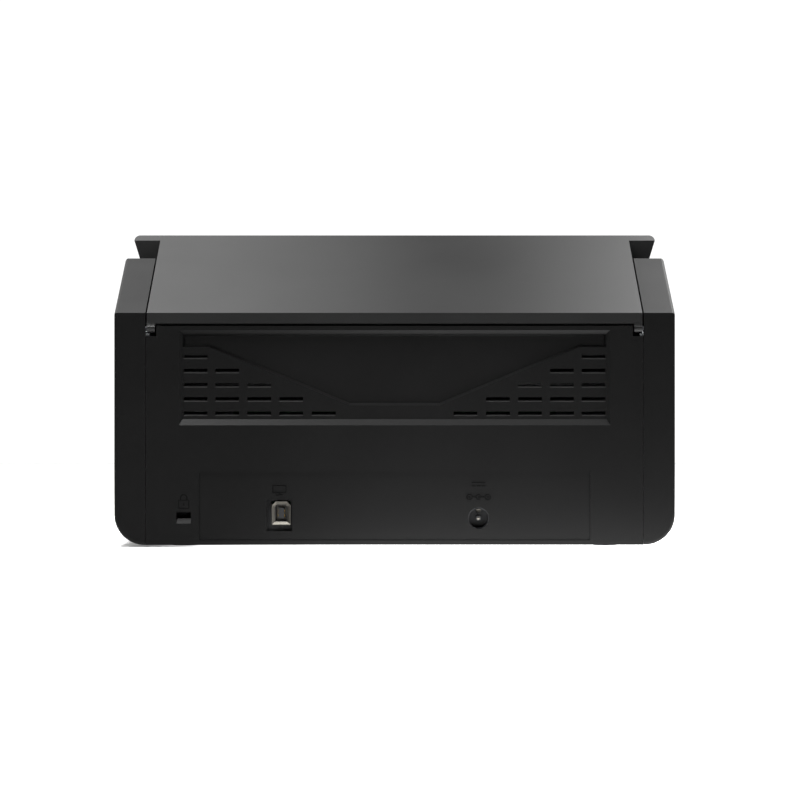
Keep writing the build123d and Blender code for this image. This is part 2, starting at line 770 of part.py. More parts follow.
def flank(radius):
    # Half angle of a tooth of the pinion at a radius, from the involute.
    slant = math.acos(base_radius / radius)
    return (math.pi / (2 * pinion_teeth) - backlash / (2 * pitch_radius)
            + math.tan(pressure) - pressure - math.tan(slant) + slant)


def polar(radius, angle):
    return (radius * math.cos(angle), radius * math.sin(angle))


with BuildPart() as guide_pinion:
    with BuildSketch(path_plane.offset(rack_top)):
        with Locations((0, -rack_at)):
            Circle(root_radius)
            with BuildSketch(mode=Mode.PRIVATE) as tooth:
                with BuildLine():
                    middle_radius = (base_radius + tip_radius) / 2
                    low = polar(root_radius - 0.5, flank(base_radius))
                    flank_points = [polar(r, flank(r)) for r in (base_radius, middle_radius, tip_radius)]
                    Line(low, flank_points[0])
                    ThreePointArc(*flank_points)
                    ThreePointArc(flank_points[2], (tip_radius, 0), (flank_points[2][0], -flank_points[2][1]))
                    ThreePointArc(*[(x, -y) for x, y in reversed(flank_points)])
                    Line((flank_points[0][0], -flank_points[0][1]), (low[0], -low[1]))
                    Line((low[0], -low[1]), low)
                make_face()
            with PolarLocations(0, pinion_teeth, start_angle=90 + 180 / pinion_teeth):
                add(tooth.sketch)
            Circle(pivot_radius + fit, mode=Mode.SUBTRACT)
    extrude(amount=-rack_height)
save(guide_pinion, "guide_pinion")

# Lower paper guide with windows for the rollers and the scan unit.


def window(radius):
    # Length along the path of the opening that a roller needs.
    low = radius - roller_rise - plate
    return 2 * math.sqrt(radius ** 2 - low ** 2) + 4 * slip


scan_slot = scan_width + 2 * seam
flag_centre = path(flag_at, -flag_drop)
flag_side = flag_width / 2 + slip
flag_cheek = 1.6
flag_slot = flag_drop * math.tan(math.radians(flag_swing)) + 3 * flag_pin
with BuildPart() as lower_guide:
    extrude(section(plate_points(chute_end + seam, guide_end, plate), -floor_x), amount=2 * floor_x)
    # Upright flange along the front edge.
    front_low = path(guide_end, -plate)
    extrude(section([path(guide_end), path(guide_end - 2 * plate, -plate), (front_low[0], front_low[1] - plate),
                     (front_low[0] - plate, front_low[1] - plate)], -tray_half_width),
            amount=2 * tray_half_width)
    with BuildSketch(path_plane):
        with Locations((0, -feed_at)):
            Rectangle(feed_length + 4 * slip, window(feed_radius))
        for place in tyre_places:
            with Locations((place, -transport_at)):
                Rectangle(tyre_length + 4 * slip, window(transport_radius))
            with Locations((place, -exit_at)):
                Rectangle(tyre_length + 4 * slip, window(exit_radius))
        with Locations((0, -scan_at)):
            Rectangle(scan_length + 2 * seam, scan_slot)
        with Locations((flag_place, 1.5 * flag_pin - flag_at)):
            Rectangle(2 * flag_side, flag_slot, align=(Align.CENTER, Align.MAX))
    extrude(amount=-3 * plate, mode=Mode.SUBTRACT)
    # Cheeks that carry the sensor flag.
    for start in (flag_place - flag_side - flag_cheek, flag_place + flag_side):
        with BuildSketch(Plane.YZ.offset(start)):
            with Locations(Location(path(flag_at, -plate / 2), path_slope)):
                Rectangle(2 * flag_hub, flag_drop - plate / 2, align=(Align.CENTER, Align.MAX))
            with Locations(flag_centre):
                Circle(flag_hub)
                Circle(flag_pin + fit, mode=Mode.SUBTRACT)
        extrude(amount=flag_cheek)
save(lower_guide, "lower_guide")

with BuildPart() as sensor_flag:
    extrude(disc(flag_centre, flag_hub, flag_place - flag_width / 2), amount=flag_width)
    # Arm up through the slot, and tail down to the light barrier.
    arm = [path(flag_at - flag_pin, -flag_drop), path(flag_at - flag_pin, flag_rise - 0.6),
           path(flag_at, flag_rise), path(flag_at + 0.6, flag_rise), path(flag_at + flag_pin, -flag_drop)]
    tail = [path(flag_at - flag_pin, -flag_drop), path(flag_at + flag_pin, -2 * flag_drop),
            path(flag_at + 3 * flag_pin, -2 * flag_drop), path(flag_at + flag_pin, -flag_drop)]
    for outline in (arm, tail):
        extrude(section(outline, flag_place - flag_width / 2), amount=flag_width)
    pin_reach = flag_side + flag_cheek
    extrude(disc(flag_centre, flag_pin, flag_place - pin_reach), amount=2 * pin_reach)
save(sensor_flag, "sensor_flag")


def scan_unit(upper):
    # A long housing, open on the side of the paper, with the glass let into it.
    turn = 1 if upper else -1
    level = paper_gap if upper else 0.0
    with BuildPart() as housing:
        with BuildSketch(path_plane.offset(level)):
            with Locations((0, -scan_at)):
                Rectangle(scan_length, scan_width)
        extrude(amount=turn * (glass_thickness + scan_height))
        fillet(housing.edges().filter_by(Axis.X), 0.6)
        with BuildSketch(path_plane.offset(level)):
            with Locations((0, -scan_at)):
                Rectangle(scan_length - 2 * wall, scan_width - wall)
        extrude(amount=turn * glass_thickness, mode=Mode.SUBTRACT)
        with BuildSketch(path_plane.offset(level)):
            with Locations((0, -scan_at)):
                Rectangle(scan_length - 4 * wall, scan_width - 2 * wall)
        extrude(amount=turn * scan_height, mode=Mode.SUBTRACT)
    with BuildPart() as glass:
        with BuildSketch(path_plane.offset(level)):
            with Locations((0, -scan_at)):
                Rectangle(scan_length - 2 * wall, scan_width - wall)
        extrude(amount=turn * glass_thickness)
    return housing, glass


lower_scan_unit, lower_scan_glass = scan_unit(False)
save(lower_scan_unit, "lower_scan_unit")
save(lower_scan_glass, "lower_scan_glass")

# Driven shafts, their tyres and toothed pulleys.
layer_start = arm_x + bush_flange + slip
pulleys = {"feed": (22, 1), "transport_motor": (30, 0), "transport_feed": (15, 1), "transport_exit": (18, 2),
           "exit": (16, 2), "motor": (15, 0)}


def pulley_radius(teeth):
    return teeth * belt_pitch / (2 * math.pi) - belt_gap


def driven_shaft(centre, layers):
    with BuildPart() as built:
        left = layer_start + layers * belt_layer
        extrude(disc(centre, shaft_radius, -left), amount=left + arm_x + bush_flange + slip)
        chamfer(built.edges().filter_by(GeomType.CIRCLE), 0.4)
    return built


def tyres(centre, radius, places, length):
    with BuildPart() as built:
        for place in places:
            extrude(disc(centre, radius, place - length / 2), amount=length)
        chamfer(built.edges().filter_by(GeomType.CIRCLE), 0.5)
        extrude(disc(centre, shaft_radius, -floor_x), amount=2 * floor_x, mode=Mode.SUBTRACT)
    return built


def pulley(centre, bore, *which):
    with BuildPart() as built:
        for name in which:
            teeth, layer = pulleys[name]
            radius = pulley_radius(teeth)
            back = -(layer_start + (layer + 1) * belt_layer)
            with BuildSketch(Plane.YZ.offset(back)):
                with Locations(centre):
                    Circle(radius)
                    with PolarLocations(radius, teeth):
                        Rectangle(belt_pitch / 2, belt_pitch / 2, mode=Mode.SUBTRACT)
            extrude(amount=belt_layer)
            for start in (back, back + belt_layer - 0.3):
                extrude(disc(centre, radius + 0.9, start), amount=0.3)
        extrude(disc(centre, bore, -width / 2), amount=width, mode=Mode.SUBTRACT)
    return built


save(driven_shaft(feed_centre, 2), "feed_shaft")
save(tyres(feed_centre, feed_radius, (0,), feed_length), "feed_roller")
save(pulley(feed_centre, shaft_radius, "feed"), "feed_pulley")
save(driven_shaft(transport_centre, 3), "transport_shaft")
save(tyres(transport_centre, transport_radius, tyre_places, tyre_length), "transport_tyres")
save(pulley(transport_centre, shaft_radius, "transport_motor", "transport_feed", "transport_exit"),
     "transport_pulleys")
save(driven_shaft(exit_centre, 3), "exit_shaft")
save(tyres(exit_centre, exit_radius, tyre_places, tyre_length), "exit_tyres")
save(pulley(exit_centre, shaft_radius, "exit"), "exit_pulley")

motor_shaft_radius = 2.0
with BuildPart() as drive_motor:
    with BuildSketch(Plane.YZ.offset(-frame_x)):
        with Locations(motor_centre):
            RectangleRounded(motor_size, motor_size, 4.0)
    extrude(amount=motor_length)
    chamfer(drive_motor.faces().sort_by(Axis.X)[-1].edges(), 1.0)
    extrude(disc(motor_centre, motor_boss, -arm_x), amount=frame_thickness)
    extrude(disc(motor_centre, motor_shaft_radius + 1.5, -arm_x - slip), amount=motor_length + slip,
            mode=Mode.SUBTRACT)
save(drive_motor, "drive_motor")

with BuildPart() as motor_pulley:
    add(pulley(motor_centre, motor_shaft_radius / 2, "motor").part)
    extrude(disc(motor_centre, motor_shaft_radius, -layer_start - belt_layer), amount=motor_length - 2 * wall)
save(motor_pulley, "motor_pulley")


def belt(first, second):
    # A closed belt round two pulleys that share a layer.
    centres = {"feed": feed_centre, "exit": exit_centre, "motor": motor_centre}
    ends = [(centres.get(name, transport_centre), pulley_radius(pulleys[name][0]) + belt_gap)
            for name in (first, second)]
    back = -(layer_start + (pulleys[first][1] + 1) * belt_layer) + (belt_layer - belt_width) / 2
    with BuildPart() as built:
        with BuildSketch(Plane.YZ.offset(back)):
            for centre, radius in ends:
                with Locations(centre):
                    Circle(radius + belt_thickness)
            make_hull()
            with BuildSketch(Plane.YZ.offset(back), mode=Mode.SUBTRACT):
                for centre, radius in ends:
                    with Locations(centre):
                        Circle(radius)
                make_hull()
        extrude(amount=belt_width)
    return built


for name, first, second in (("motor_belt", "transport_motor", "motor"), ("feed_belt", "transport_feed", "feed"),
                            ("exit_belt", "transport_exit", "exit")):
    save(belt(first, second), name)

# Front cover: an outer shell and the inner moulding along the paper path.
cover_back = cover_axis_z + math.sqrt(cover_top_radius ** 2 - (cover_top_y - cover_axis_y) ** 2)
cover_front = (front_at(cover_bottom_z), cover_bottom_z)
throat = path(chute_end - 2, guide_height - 2)
cover_end = exit_at + exit_idler_radius + plate + 2 * slip
cover_low = (path(cover_end, paper_gap)[0] - 10, cover_bottom_z - 3)
cover_points = [cover_front, (peak_y, peak_z), (cover_top_y, peak_z), (cover_top_y, cover_back), throat,
                path(chute_end + 6, paper_gap), path(cover_end, paper_gap), cover_low,
                (cover_front[0] + 3, cover_bottom_z - 2)]


def cover_section(x, inset=0.0):
    with BuildSketch(Plane.YZ.offset(x)) as shape:
        with BuildLine():
            Polyline(*cover_points, close=True)
        make_face()
        with BuildSketch(Plane.YZ.offset(x), mode=Mode.INTERSECT):
            with Locations(cover_axis):
                Circle(cover_top_radius)
        if inset:
            offset(amount=-inset)
    return shape.sketch


split_line = math.degrees(math.atan2(cover_back - cover_bottom_z, cover_top_y - cover_front[0]))


def beside_split(x, side):
    # Everything on one side of the line from the cover's lower edge to the back of its top.
    with BuildSketch(Plane.YZ.offset(x)) as shape:
        with Locations(Location(cover_front, split_line)):
            Rectangle(3 * width, 3 * width, align=(Align.CENTER, side))
    return shape.sketch


button_depth = button_stand + cover_wall + 1.5
button_flange = 1.0
button_stem = 2.0
switch_height = 1.6
control_face = (button_stand - button_depth - button_flange - button_stem - button_travel - slip
                - switch_height)
control_place = buttons["scan_button"][0]
control_width = 68.0
control_height = 26.0
cover_ear = [(cover_axis_y - cover_ear_radius, cover_axis_z), (cover_axis_y + cover_ear_radius, cover_axis_z),
             (cover_axis_y + 2 * cover_ear_radius, cover_bottom_z + 2 * cover_ear_radius),
             (front_at(cover_bottom_z) + 1, cover_bottom_z + 1)]
with BuildPart() as cover_shell:
    extrude(cover_section(-cover_x), amount=2 * cover_x)
    fillet(cover_shell.faces().sort_by(SortBy.AREA)[-1].edges(), cover_round)
    extrude(cover_section(-cover_x + cover_wall, cover_wall), amount=2 * (cover_x - cover_wall),
            mode=Mode.SUBTRACT)
    extrude(beside_split(-cover_x + cover_wall, Align.MAX), amount=2 * (cover_x - cover_wall),
            mode=Mode.SUBTRACT)
    # Hinge ears.
    for side in (1, -1):
        start = min(side * cover_x, side * (cover_x - cover_ear_width))
        extrude(section(cover_ear, start), amount=cover_ear_width)
        extrude(disc(cover_axis, cover_ear_radius, start), amount=cover_ear_width)
        extrude(disc(cover_axis, cover_pin_radius + fit, start), amount=cover_ear_width, mode=Mode.SUBTRACT)
    for place, across, up in buttons.values():
        with BuildSketch(front_plane):
            with Locations((place, button_up)):
                RectangleRounded(across + 2 * button_gap, up + 2 * button_gap, 2.0 + button_gap)
        extrude(amount=-2 * cover_wall, mode=Mode.SUBTRACT)
    # Pillars of the button board.
    with BuildSketch(front_plane.offset(-cover_wall)):
        with Locations((control_place, button_up)):
            with GridLocations(control_width - 8, control_height - 6, 2, 2):
                Circle(2.4)
    extrude(amount=control_face + cover_wall)
save(cover_shell, "cover_shell")

idler_places = {"brake": (feed_at, brake_radius), "transport": (transport_at, transport_idler_radius),
                "exit": (exit_at, exit_idler_radius)}


def idler_centre(name):
    place, radius = idler_places[name]
    return path(place, roller_rise + nip + radius)


with BuildPart() as cover_inner:
    extrude(cover_section(-bearer_x), amount=2 * bearer_x)
    extrude(cover_section(-bearer_x, plate), amount=2 * bearer_x, mode=Mode.SUBTRACT)
    extrude(beside_split(-bearer_x, Align.MIN), amount=2 * bearer_x, mode=Mode.SUBTRACT)
    with BuildSketch(path_plane.offset(-plate)):
        with Locations((0, -feed_at)):
            Rectangle(feed_length + 4 * slip, 2 * brake_radius + slip)
        for place in tyre_places:
            with Locations((place, -transport_at)):
                Rectangle(tyre_length + 4 * slip, 2 * transport_idler_radius + slip)
            with Locations((place, -exit_at)):
                Rectangle(tyre_length + 4 * slip, 2 * exit_idler_radius + slip)
        with Locations((0, -scan_at)):
            Rectangle(scan_length + 2 * seam, scan_slot)
        with Locations((flag_place, 2 * flag_pin - flag_at)):
            Rectangle(2 * flag_side, flag_slot, align=(Align.CENTER, Align.MAX))
    extrude(amount=4 * plate + paper_gap, mode=Mode.SUBTRACT)
    with BuildSketch(path_plane.offset(-plate)):
        with Locations((0, -feed_at)):
            Rectangle(feed_length + 4 * slip, 2 * brake_radius + slip)
    extrude(amount=2 * brake_radius + 3 * plate, mode=Mode.SUBTRACT)
    for side in (1, -1):
        start = min(side * cover_x, side * (cover_x - cover_ear_width - seam))
        extrude(section(cover_ear, start), amount=cover_ear_width + seam, mode=Mode.SUBTRACT)
    # Bearing cheeks for the idler shafts, beside each tyre.
    for name in idler_places:
        place, radius = idler_places[name]
        centre = idler_centre(name)
        half = feed_length / 2 if name == "brake" else tyre_length / 2
        for middle in ((0,) if name == "brake" else tyre_places):
            for side in (1, -1):
                start = middle + side * (half + 3 * slip)
                start = min(start, start + side * plate)
                with BuildSketch(Plane.YZ.offset(start)):
                    with Locations(Location(centre, path_slope)):
                        Rectangle(3 * idler_shaft_radius + 2, radius + nip + roller_rise,
                                  align=(Align.CENTER, Align.MAX))
                    with Locations(centre):
                        Circle(1.5 * idler_shaft_radius + 1)
                    add(flat(below_path(start), start), mode=Mode.SUBTRACT)
                    with Locations(centre):
                        Circle(idler_shaft_radius + fit, mode=Mode.SUBTRACT)
                extrude(amount=plate)
save(cover_inner, "cover_inner")

for name in idler_places:
    radius = idler_places[name][1]
    centre = idler_centre(name)
    places = (0,) if name == "brake" else tyre_places
    length = feed_length if name == "brake" else tyre_length
    with BuildPart() as idler:
        for place in places:
            extrude(disc(centre, radius, place - length / 2), amount=length)
        chamfer(idler.edges().filter_by(GeomType.CIRCLE), 0.5)
        reach = places[-1] + length / 2 + 4 * plate
        extrude(disc(centre, idler_shaft_radius, -reach), amount=2 * reach)
    save(idler, {"brake": "brake_roller", "transport": "transport_idlers", "exit": "exit_idlers"}[name])

upper_scan_unit, upper_scan_glass = scan_unit(True)
save(upper_scan_unit, "upper_scan_unit")
save(upper_scan_glass, "upper_scan_glass")

# Buttons in the front cover, and the board behind them.
for name, (place, across, up) in buttons.items():
    with BuildPart() as button:
        with BuildSketch(front_plane.offset(button_stand)):
            with Locations((place, button_up)):
                RectangleRounded(across, up, 2.0)
        extrude(amount=-button_depth)
        fillet(button.edges().group_by(Axis(front_plane.origin, front_plane.z_dir))[-1], 0.5)
        with BuildSketch(front_plane.offset(button_stand - button_depth)):
            with Locations((place, button_up)):
                RectangleRounded(across + 2, up + 2, 2.5)
        extrude(amount=-button_flange)
        with BuildSketch(front_plane.offset(button_stand - button_depth - button_flange)):
            with Locations((place, button_up)):
                Circle(1.5)
        extrude(amount=-button_stem)
    save(button, name)

with BuildPart() as control_board:
    with BuildSketch(front_plane.offset(control_face)):
        with Locations((control_place, button_up)):
            RectangleRounded(control_width, control_height, 2.0)
    extrude(amount=-board_thickness)
    # Switches under the buttons' stems.
    for place, across, up in buttons.values():
        with BuildSketch(front_plane.offset(control_face)):
            with Locations((place, button_up)):
                Rectangle(6.0, 6.0)
        extrude(amount=switch_height - 0.4)
        with BuildSketch(front_plane.offset(control_face)):
            with Locations((place, button_up)):
                Circle(1.75)
        extrude(amount=switch_height)
save(control_board, "control_board")

# Base: a tray between the side frames, with rails for the output tray.
base_rear_y = rear_y - rear_wall - seam
rail_gap = slip
low_wall = 6.0
tray_side = tray_half_width + rail_gap
rib_length = brace_y - brace_foot - tray_rear_y - 2 * rib_margin
rib_middle = (tray_rear_y + brace_y - brace_foot) / 2
with BuildPart() as base_pan:
    with BuildSketch(Plane.XY.offset(foot_height)):
        with Locations((0, (base_rear_y + front_y) / 2)):
            Rectangle(2 * floor_x, base_rear_y - front_y)
    extrude(amount=wall)
    fillet(base_pan.edges().filter_by(Axis.X).group_by(Axis.Y)[0].sort_by(Axis.Z)[0], wall - seam)
    # Hollows that leave ribs between them, air slots in the hollows, and a recess for a label below.
    with BuildSketch(Plane.XY.offset(foot_height + wall)):
        with Locations((0, rib_middle)):
            with GridLocations(rib_step, 1, 5, 1):
                Rectangle(rib_step - rib_width, rib_length)
    extrude(amount=-rib_depth, mode=Mode.SUBTRACT)
    with BuildSketch(Plane.XY.offset(foot_height)):
        with Locations((0, rib_middle)):
            with GridLocations(rib_step, vent_step, 5, 5):
                SlotOverall(vent_length, vent_width)
    extrude(amount=wall, mode=Mode.SUBTRACT)
    with BuildSketch(Plane.XY.offset(foot_height)):
        with Locations((0, (tray_rear_y + front_y) / 2)):
            RectangleRounded(label_length, label_width, 2.0)
    extrude(amount=label_depth, mode=Mode.SUBTRACT)
    for side in (1, -1):
        # Side wall, then the rail that holds the tray down.
        with BuildSketch(Plane.XY.offset(foot_height)):
            with Locations((side * (floor_x - wall / 2), (base_rear_y + front_y) / 2)):
                Rectangle(wall, base_rear_y - front_y)
        extrude(amount=low_wall)
        with BuildSketch(Plane.XY.offset(foot_height)):
            with Locations((side * (floor_x - wall / 2), (tray_rear_y + front_y) / 2)):
                Rectangle(wall, tray_rear_y - front_y)
        extrude(amount=tray_z + slip + wall - foot_height)
        with BuildSketch(Plane.XZ.offset(-tray_rear_y - 2)):
            with BuildLine():
                lip_x = tray_side - 2.5
                Polyline((side * tray_side, foot_height), (side * tray_side, tray_z + slip),
                         (side * lip_x, tray_z + slip), (side * lip_x, tray_z + slip + wall),
                         (side * (floor_x - seam), tray_z + slip + wall),
                         (side * (floor_x - seam), tray_z + slip), (side * (tray_side + wall), tray_z + slip),
                         (side * (tray_side + wall), foot_height), close=True)
            make_face()
        extrude(amount=tray_rear_y + 2 - front_y - 2)
    # Seats of the rubber feet.
    with BuildSketch(Plane.XY):
        with Locations(*foot_places):
            Circle(foot_radius + seam)
    extrude(amount=foot_thickness, mode=Mode.SUBTRACT)
save(base_pan, "base_pan")

# Output tray, its extension and the paper stop.
stop_recess_y = front_y + stop_length + 4.0
extension_top = tray_z - tray_skin - slip
with BuildPart() as output_tray:
    with BuildSketch(Plane.XY.offset(tray_z - tray_skin)):
        with Locations((0, (front_y + tray_rear_y) / 2)):
            Rectangle(2 * tray_half_width, tray_rear_y - front_y)
        with Locations((0, front_y)):
            Rectangle(2 * (stop_half_width + 2 * play), 2 * (stop_recess_y - front_y), mode=Mode.SUBTRACT)
    extrude(amount=tray_skin)
    with BuildSketch(Plane.XY.offset(tray_bottom_z)):
        with Locations((0, (front_y + tray_rear_y) / 2)):
            Rectangle(2 * tray_half_width, tray_rear_y - front_y)
            Rectangle(2 * (extension_half_width + slip), tray_rear_y - front_y, mode=Mode.SUBTRACT)
        for side in (1, -1):
            with Locations((side * (tray_half_width + extension_half_width) / 2,
                            (front_y + tray_rear_y) / 2)):
                Rectangle(tray_half_width - extension_half_width - 2 * wall,
                          tray_rear_y - front_y - 2 * wall, mode=Mode.SUBTRACT)
    extrude(amount=tray_z - tray_skin - tray_bottom_z)
save(output_tray, "output_tray")

extension_bottom = tray_bottom_z
stop_axis = (front_y + stop_pin_radius + 0.6, extension_top - stop_thickness / 2)
stop_reach = stop_half_width + play + 3.0
with BuildPart() as tray_extension:
    with BuildSketch(Plane.XY.offset(extension_top - extension_thickness)):
        with Locations((0, (front_y + extension_rear_y) / 2)):
            Rectangle(2 * extension_half_width, extension_rear_y - front_y)
    extrude(amount=extension_thickness)
    with BuildSketch(Plane.XY.offset(extension_bottom)):
        with Locations((0, front_y + wall / 2)):
            Rectangle(2 * extension_half_width, wall)
        for side in (1, -1):
            with Locations((side * (extension_half_width - wall / 2), (front_y + extension_rear_y) / 2)):
                Rectangle(wall, extension_rear_y - front_y)
    extrude(amount=extension_top - extension_bottom)
    # Recess of the paper stop and the holes of its pin.
    with BuildSketch(Plane.XY.offset(extension_top)):
        with Locations((0, front_y)):
            Rectangle(2 * (stop_half_width + play), 2 * (stop_length + 2 * play))
    extrude(amount=-stop_thickness - 0.3, mode=Mode.SUBTRACT)
    extrude(disc(stop_axis, stop_pin_radius + fit, -stop_reach), amount=2 * stop_reach, mode=Mode.SUBTRACT)
save(tray_extension, "tray_extension")

with BuildPart() as paper_stop:
    # Flap, lying back in its recess, with a pin at each end of its front edge.
    with BuildSketch(Plane.XY.offset(extension_top - stop_thickness)):
        with Locations((0, stop_axis[0] + (stop_length - 1) / 2)):
            Rectangle(2 * stop_half_width, stop_length - 1)
    extrude(amount=stop_thickness)
    extrude(disc(stop_axis, stop_thickness / 2, -stop_half_width), amount=2 * stop_half_width)
    fillet(paper_stop.edges().filter_by(Axis.Z).group_by(Axis.Y)[-1], 2.0)
    extrude(disc(stop_axis, stop_pin_radius, -stop_reach), amount=2 * stop_reach)
save(paper_stop, "paper_stop")

# Main board upright behind its sockets, on a sheet steel brace between the frames.
spacers = [(x, z) for x in (6 - board_half_width, board_half_width - 6)
           for z in (board_low_z + 5, board_high_z - 5)]
board_plane = Plane(origin=(0, board_y, 0), x_dir=(-1, 0, 0), z_dir=(0, 1, 0))
with BuildPart() as main_board:
    with BuildSketch(board_plane):
        with Locations((0, (board_low_z + board_high_z) / 2)):
            RectangleRounded(2 * board_half_width, board_high_z - board_low_z, 2.0)
    extrude(amount=board_thickness)
    # Chips, capacitors and connectors.
    for place, across, up, tall in (((10, 40), 24, 24, 2.4), ((-20, 52), 14, 14, 1.6), ((45, 50), 18, 10, 1.6),
                                    ((-55, 56), 30, 6, 5.0), ((20, 64), 40, 5, 4.0)):
        with BuildSketch(board_plane.offset(board_thickness)):
            with Locations(place):
                Rectangle(across, up)
        extrude(amount=tall)
    for place in ((64, 40), (64, 30), (74, 35)):
        with BuildSketch(board_plane.offset(board_thickness)):
            with Locations(place):
                Circle(4.0)
        extrude(amount=7.0)
save(main_board, "main_board")

with BuildPart() as board_brace:
    with BuildSketch(board_plane.offset(-brace_gap)):
        with Locations((0, (board_low_z + board_high_z) / 2)):
            Rectangle(2 * floor_x, board_high_z - board_low_z)
        for side in (1, -1):
            # Clear of the base's side walls.
            with Locations((side * floor_x, board_low_z)):
                Rectangle(2 * (wall + slip), 2 * low_wall, mode=Mode.SUBTRACT)
        for x in (-60, -20, 20, 60):
            with Locations((x, (board_low_z + board_high_z) / 2)):
                SlotOverall(40, 14, rotation=90, mode=Mode.SUBTRACT)
        with Locations(*post_places):
            Circle(screw_through, mode=Mode.SUBTRACT)
    extrude(amount=-brace_thickness)
    for x, z in spacers:
        with BuildSketch(board_plane.offset(-brace_gap)):
            with Locations((x, z)):
                Circle(3.0)
        extrude(amount=brace_gap)
    # Folded feet on the floor and ears on the frames.
    with BuildSketch(Plane.XY.offset(foot_height + wall)):
        for x in (-70, 70):
            with Locations((x, brace_y)):
                Rectangle(2 * brace_foot, brace_foot, align=(Align.CENTER, Align.MAX))
    extrude(amount=brace_thickness)
    with BuildSketch(Plane.XY.offset(foot_height + wall)):
        for x in (-70, 70):
            with Locations((x, brace_y)):
                Rectangle(2 * brace_foot, brace_thickness, align=(Align.CENTER, Align.MIN))
    extrude(amount=board_low_z)
save(board_brace, "board_brace")

board_face = board_y + board_thickness
usb_back = 1.5
mouth_plane = rear_plane.offset(-bay_depth - usb_set_back)
usb_depth = rear_y - bay_depth - usb_set_back - board_face
with BuildPart() as usb_socket:
    # Drawn metal shell, upright, with a flared mouth.
    shell = 0.3
    with BuildSketch(mouth_plane) as mouth:
        with Locations((-usb_x, usb_z)):
            Rectangle(usb_width, usb_height)
        chamfer(mouth.vertices().group_by(Axis.Y)[-1], 2.0)
    extrude(amount=-usb_depth)
    with BuildSketch(mouth_plane):
        offset(mouth.sketch_local, amount=-shell)
    extrude(amount=-usb_flare, taper=45, mode=Mode.SUBTRACT)
    with BuildSketch(mouth_plane):
        offset(mouth.sketch_local, amount=-shell - usb_flare)
    extrude(amount=usb_back - usb_depth, mode=Mode.SUBTRACT)
save(usb_socket, "usb_socket")

with BuildPart() as usb_tongue:
    with BuildSketch(mouth_plane.offset(usb_back - usb_depth)):
        with Locations((-usb_x, usb_z)):
            RectangleRounded(3.2, 5.6, 0.4)
    extrude(amount=usb_depth - usb_back - 2 * usb_flare)
save(usb_tongue, "usb_tongue")

with BuildPart() as dc_jack:
    with BuildSketch(rear_plane.offset(-rear_wall)):
        with Locations((-jack_x, jack_z)):
            Rectangle(jack_width, jack_width)
    extrude(amount=-(rear_y - rear_wall - board_face))
    with BuildSketch(rear_plane.offset(-rear_wall)):
        with Locations((-jack_x, jack_z)):
            Circle(jack_radius - 0.4)
    extrude(amount=-(rear_y - rear_wall - board_face) + 2.0, mode=Mode.SUBTRACT)
    with BuildSketch(rear_plane.offset(-rear_wall - 0.5)):
        with Locations((-jack_x, jack_z)):
            Circle(1.25)
    extrude(amount=-(rear_y - rear_wall - board_face) + 1.5)
save(dc_jack, "dc_jack")

with BuildPart() as lock_plate:
    with BuildSketch(rear_plane.offset(-rear_wall)):
        with Locations((-lock_x, lock_z)):
            Rectangle(22.0, 18.0)
            Rectangle(lock_length + 2 * seam, lock_height + 2 * seam, mode=Mode.SUBTRACT)
    extrude(amount=-1.5)
save(lock_plate, "lock_plate")

with BuildPart() as rubber_feet:
    with BuildSketch(Plane.XY):
        with Locations(*foot_places):
            Circle(foot_radius)
    extrude(amount=foot_thickness)
    chamfer(rubber_feet.edges().group_by(Axis.Z)[0], 0.5)
save(rubber_feet, "rubber_feet")
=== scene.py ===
# Desktop document scanner seen from behind: finishes, small parts, studio and camera
import json
import math

import bmesh
import bpy
from mathutils import Matrix, Vector


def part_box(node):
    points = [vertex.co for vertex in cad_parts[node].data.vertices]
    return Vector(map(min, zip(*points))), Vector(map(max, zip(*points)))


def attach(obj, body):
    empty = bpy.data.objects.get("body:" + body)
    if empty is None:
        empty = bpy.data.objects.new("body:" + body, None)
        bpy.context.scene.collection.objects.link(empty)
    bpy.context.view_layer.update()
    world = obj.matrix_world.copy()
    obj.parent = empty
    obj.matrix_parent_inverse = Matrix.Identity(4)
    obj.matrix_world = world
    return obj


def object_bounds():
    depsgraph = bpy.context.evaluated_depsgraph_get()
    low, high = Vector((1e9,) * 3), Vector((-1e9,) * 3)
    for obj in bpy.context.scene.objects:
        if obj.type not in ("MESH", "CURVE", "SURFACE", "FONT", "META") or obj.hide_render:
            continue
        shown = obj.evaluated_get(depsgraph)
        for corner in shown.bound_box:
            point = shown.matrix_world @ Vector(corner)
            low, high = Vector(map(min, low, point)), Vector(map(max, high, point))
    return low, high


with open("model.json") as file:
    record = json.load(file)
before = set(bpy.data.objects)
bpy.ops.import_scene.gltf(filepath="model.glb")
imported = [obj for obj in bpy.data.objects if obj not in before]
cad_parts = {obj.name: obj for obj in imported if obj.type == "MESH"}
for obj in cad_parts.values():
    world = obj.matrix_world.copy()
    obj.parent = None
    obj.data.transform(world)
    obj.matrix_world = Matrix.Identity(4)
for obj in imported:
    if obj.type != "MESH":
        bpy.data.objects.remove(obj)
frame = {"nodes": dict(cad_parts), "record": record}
nodes = frame["nodes"]
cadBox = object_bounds()
scene = bpy.context.scene
mm = 0.001
print("frame loaded:", len(nodes), "nodes")


def hexColour(code):
    # sRGB hex to the linear values that shaders expect
    parts = [int(code[i:i + 2], 16) / 255 for i in (1, 3, 5)]
    return [c / 12.92 if c <= 0.04045 else ((c + 0.055) / 1.055) ** 2.4 for c in parts] + [1.0]


def addNode(tree, kind, settings=None, inputs=None, links=None):
    # one shader or geometry node with its settings, socket values and incoming links
    node = tree.nodes.new(kind)
    for key, value in (settings or {}).items():
        setattr(node, key, value)
    for key, value in (inputs or {}).items():
        node.inputs[key].default_value = value
    for key, source in (links or {}).items():
        tree.links.new(source, node.inputs[key])
    return node


def newMaterial(name):
    material = bpy.data.materials.new(name)
    material.use_nodes = True
    tree = material.node_tree
    tree.nodes.clear()
    return material, tree


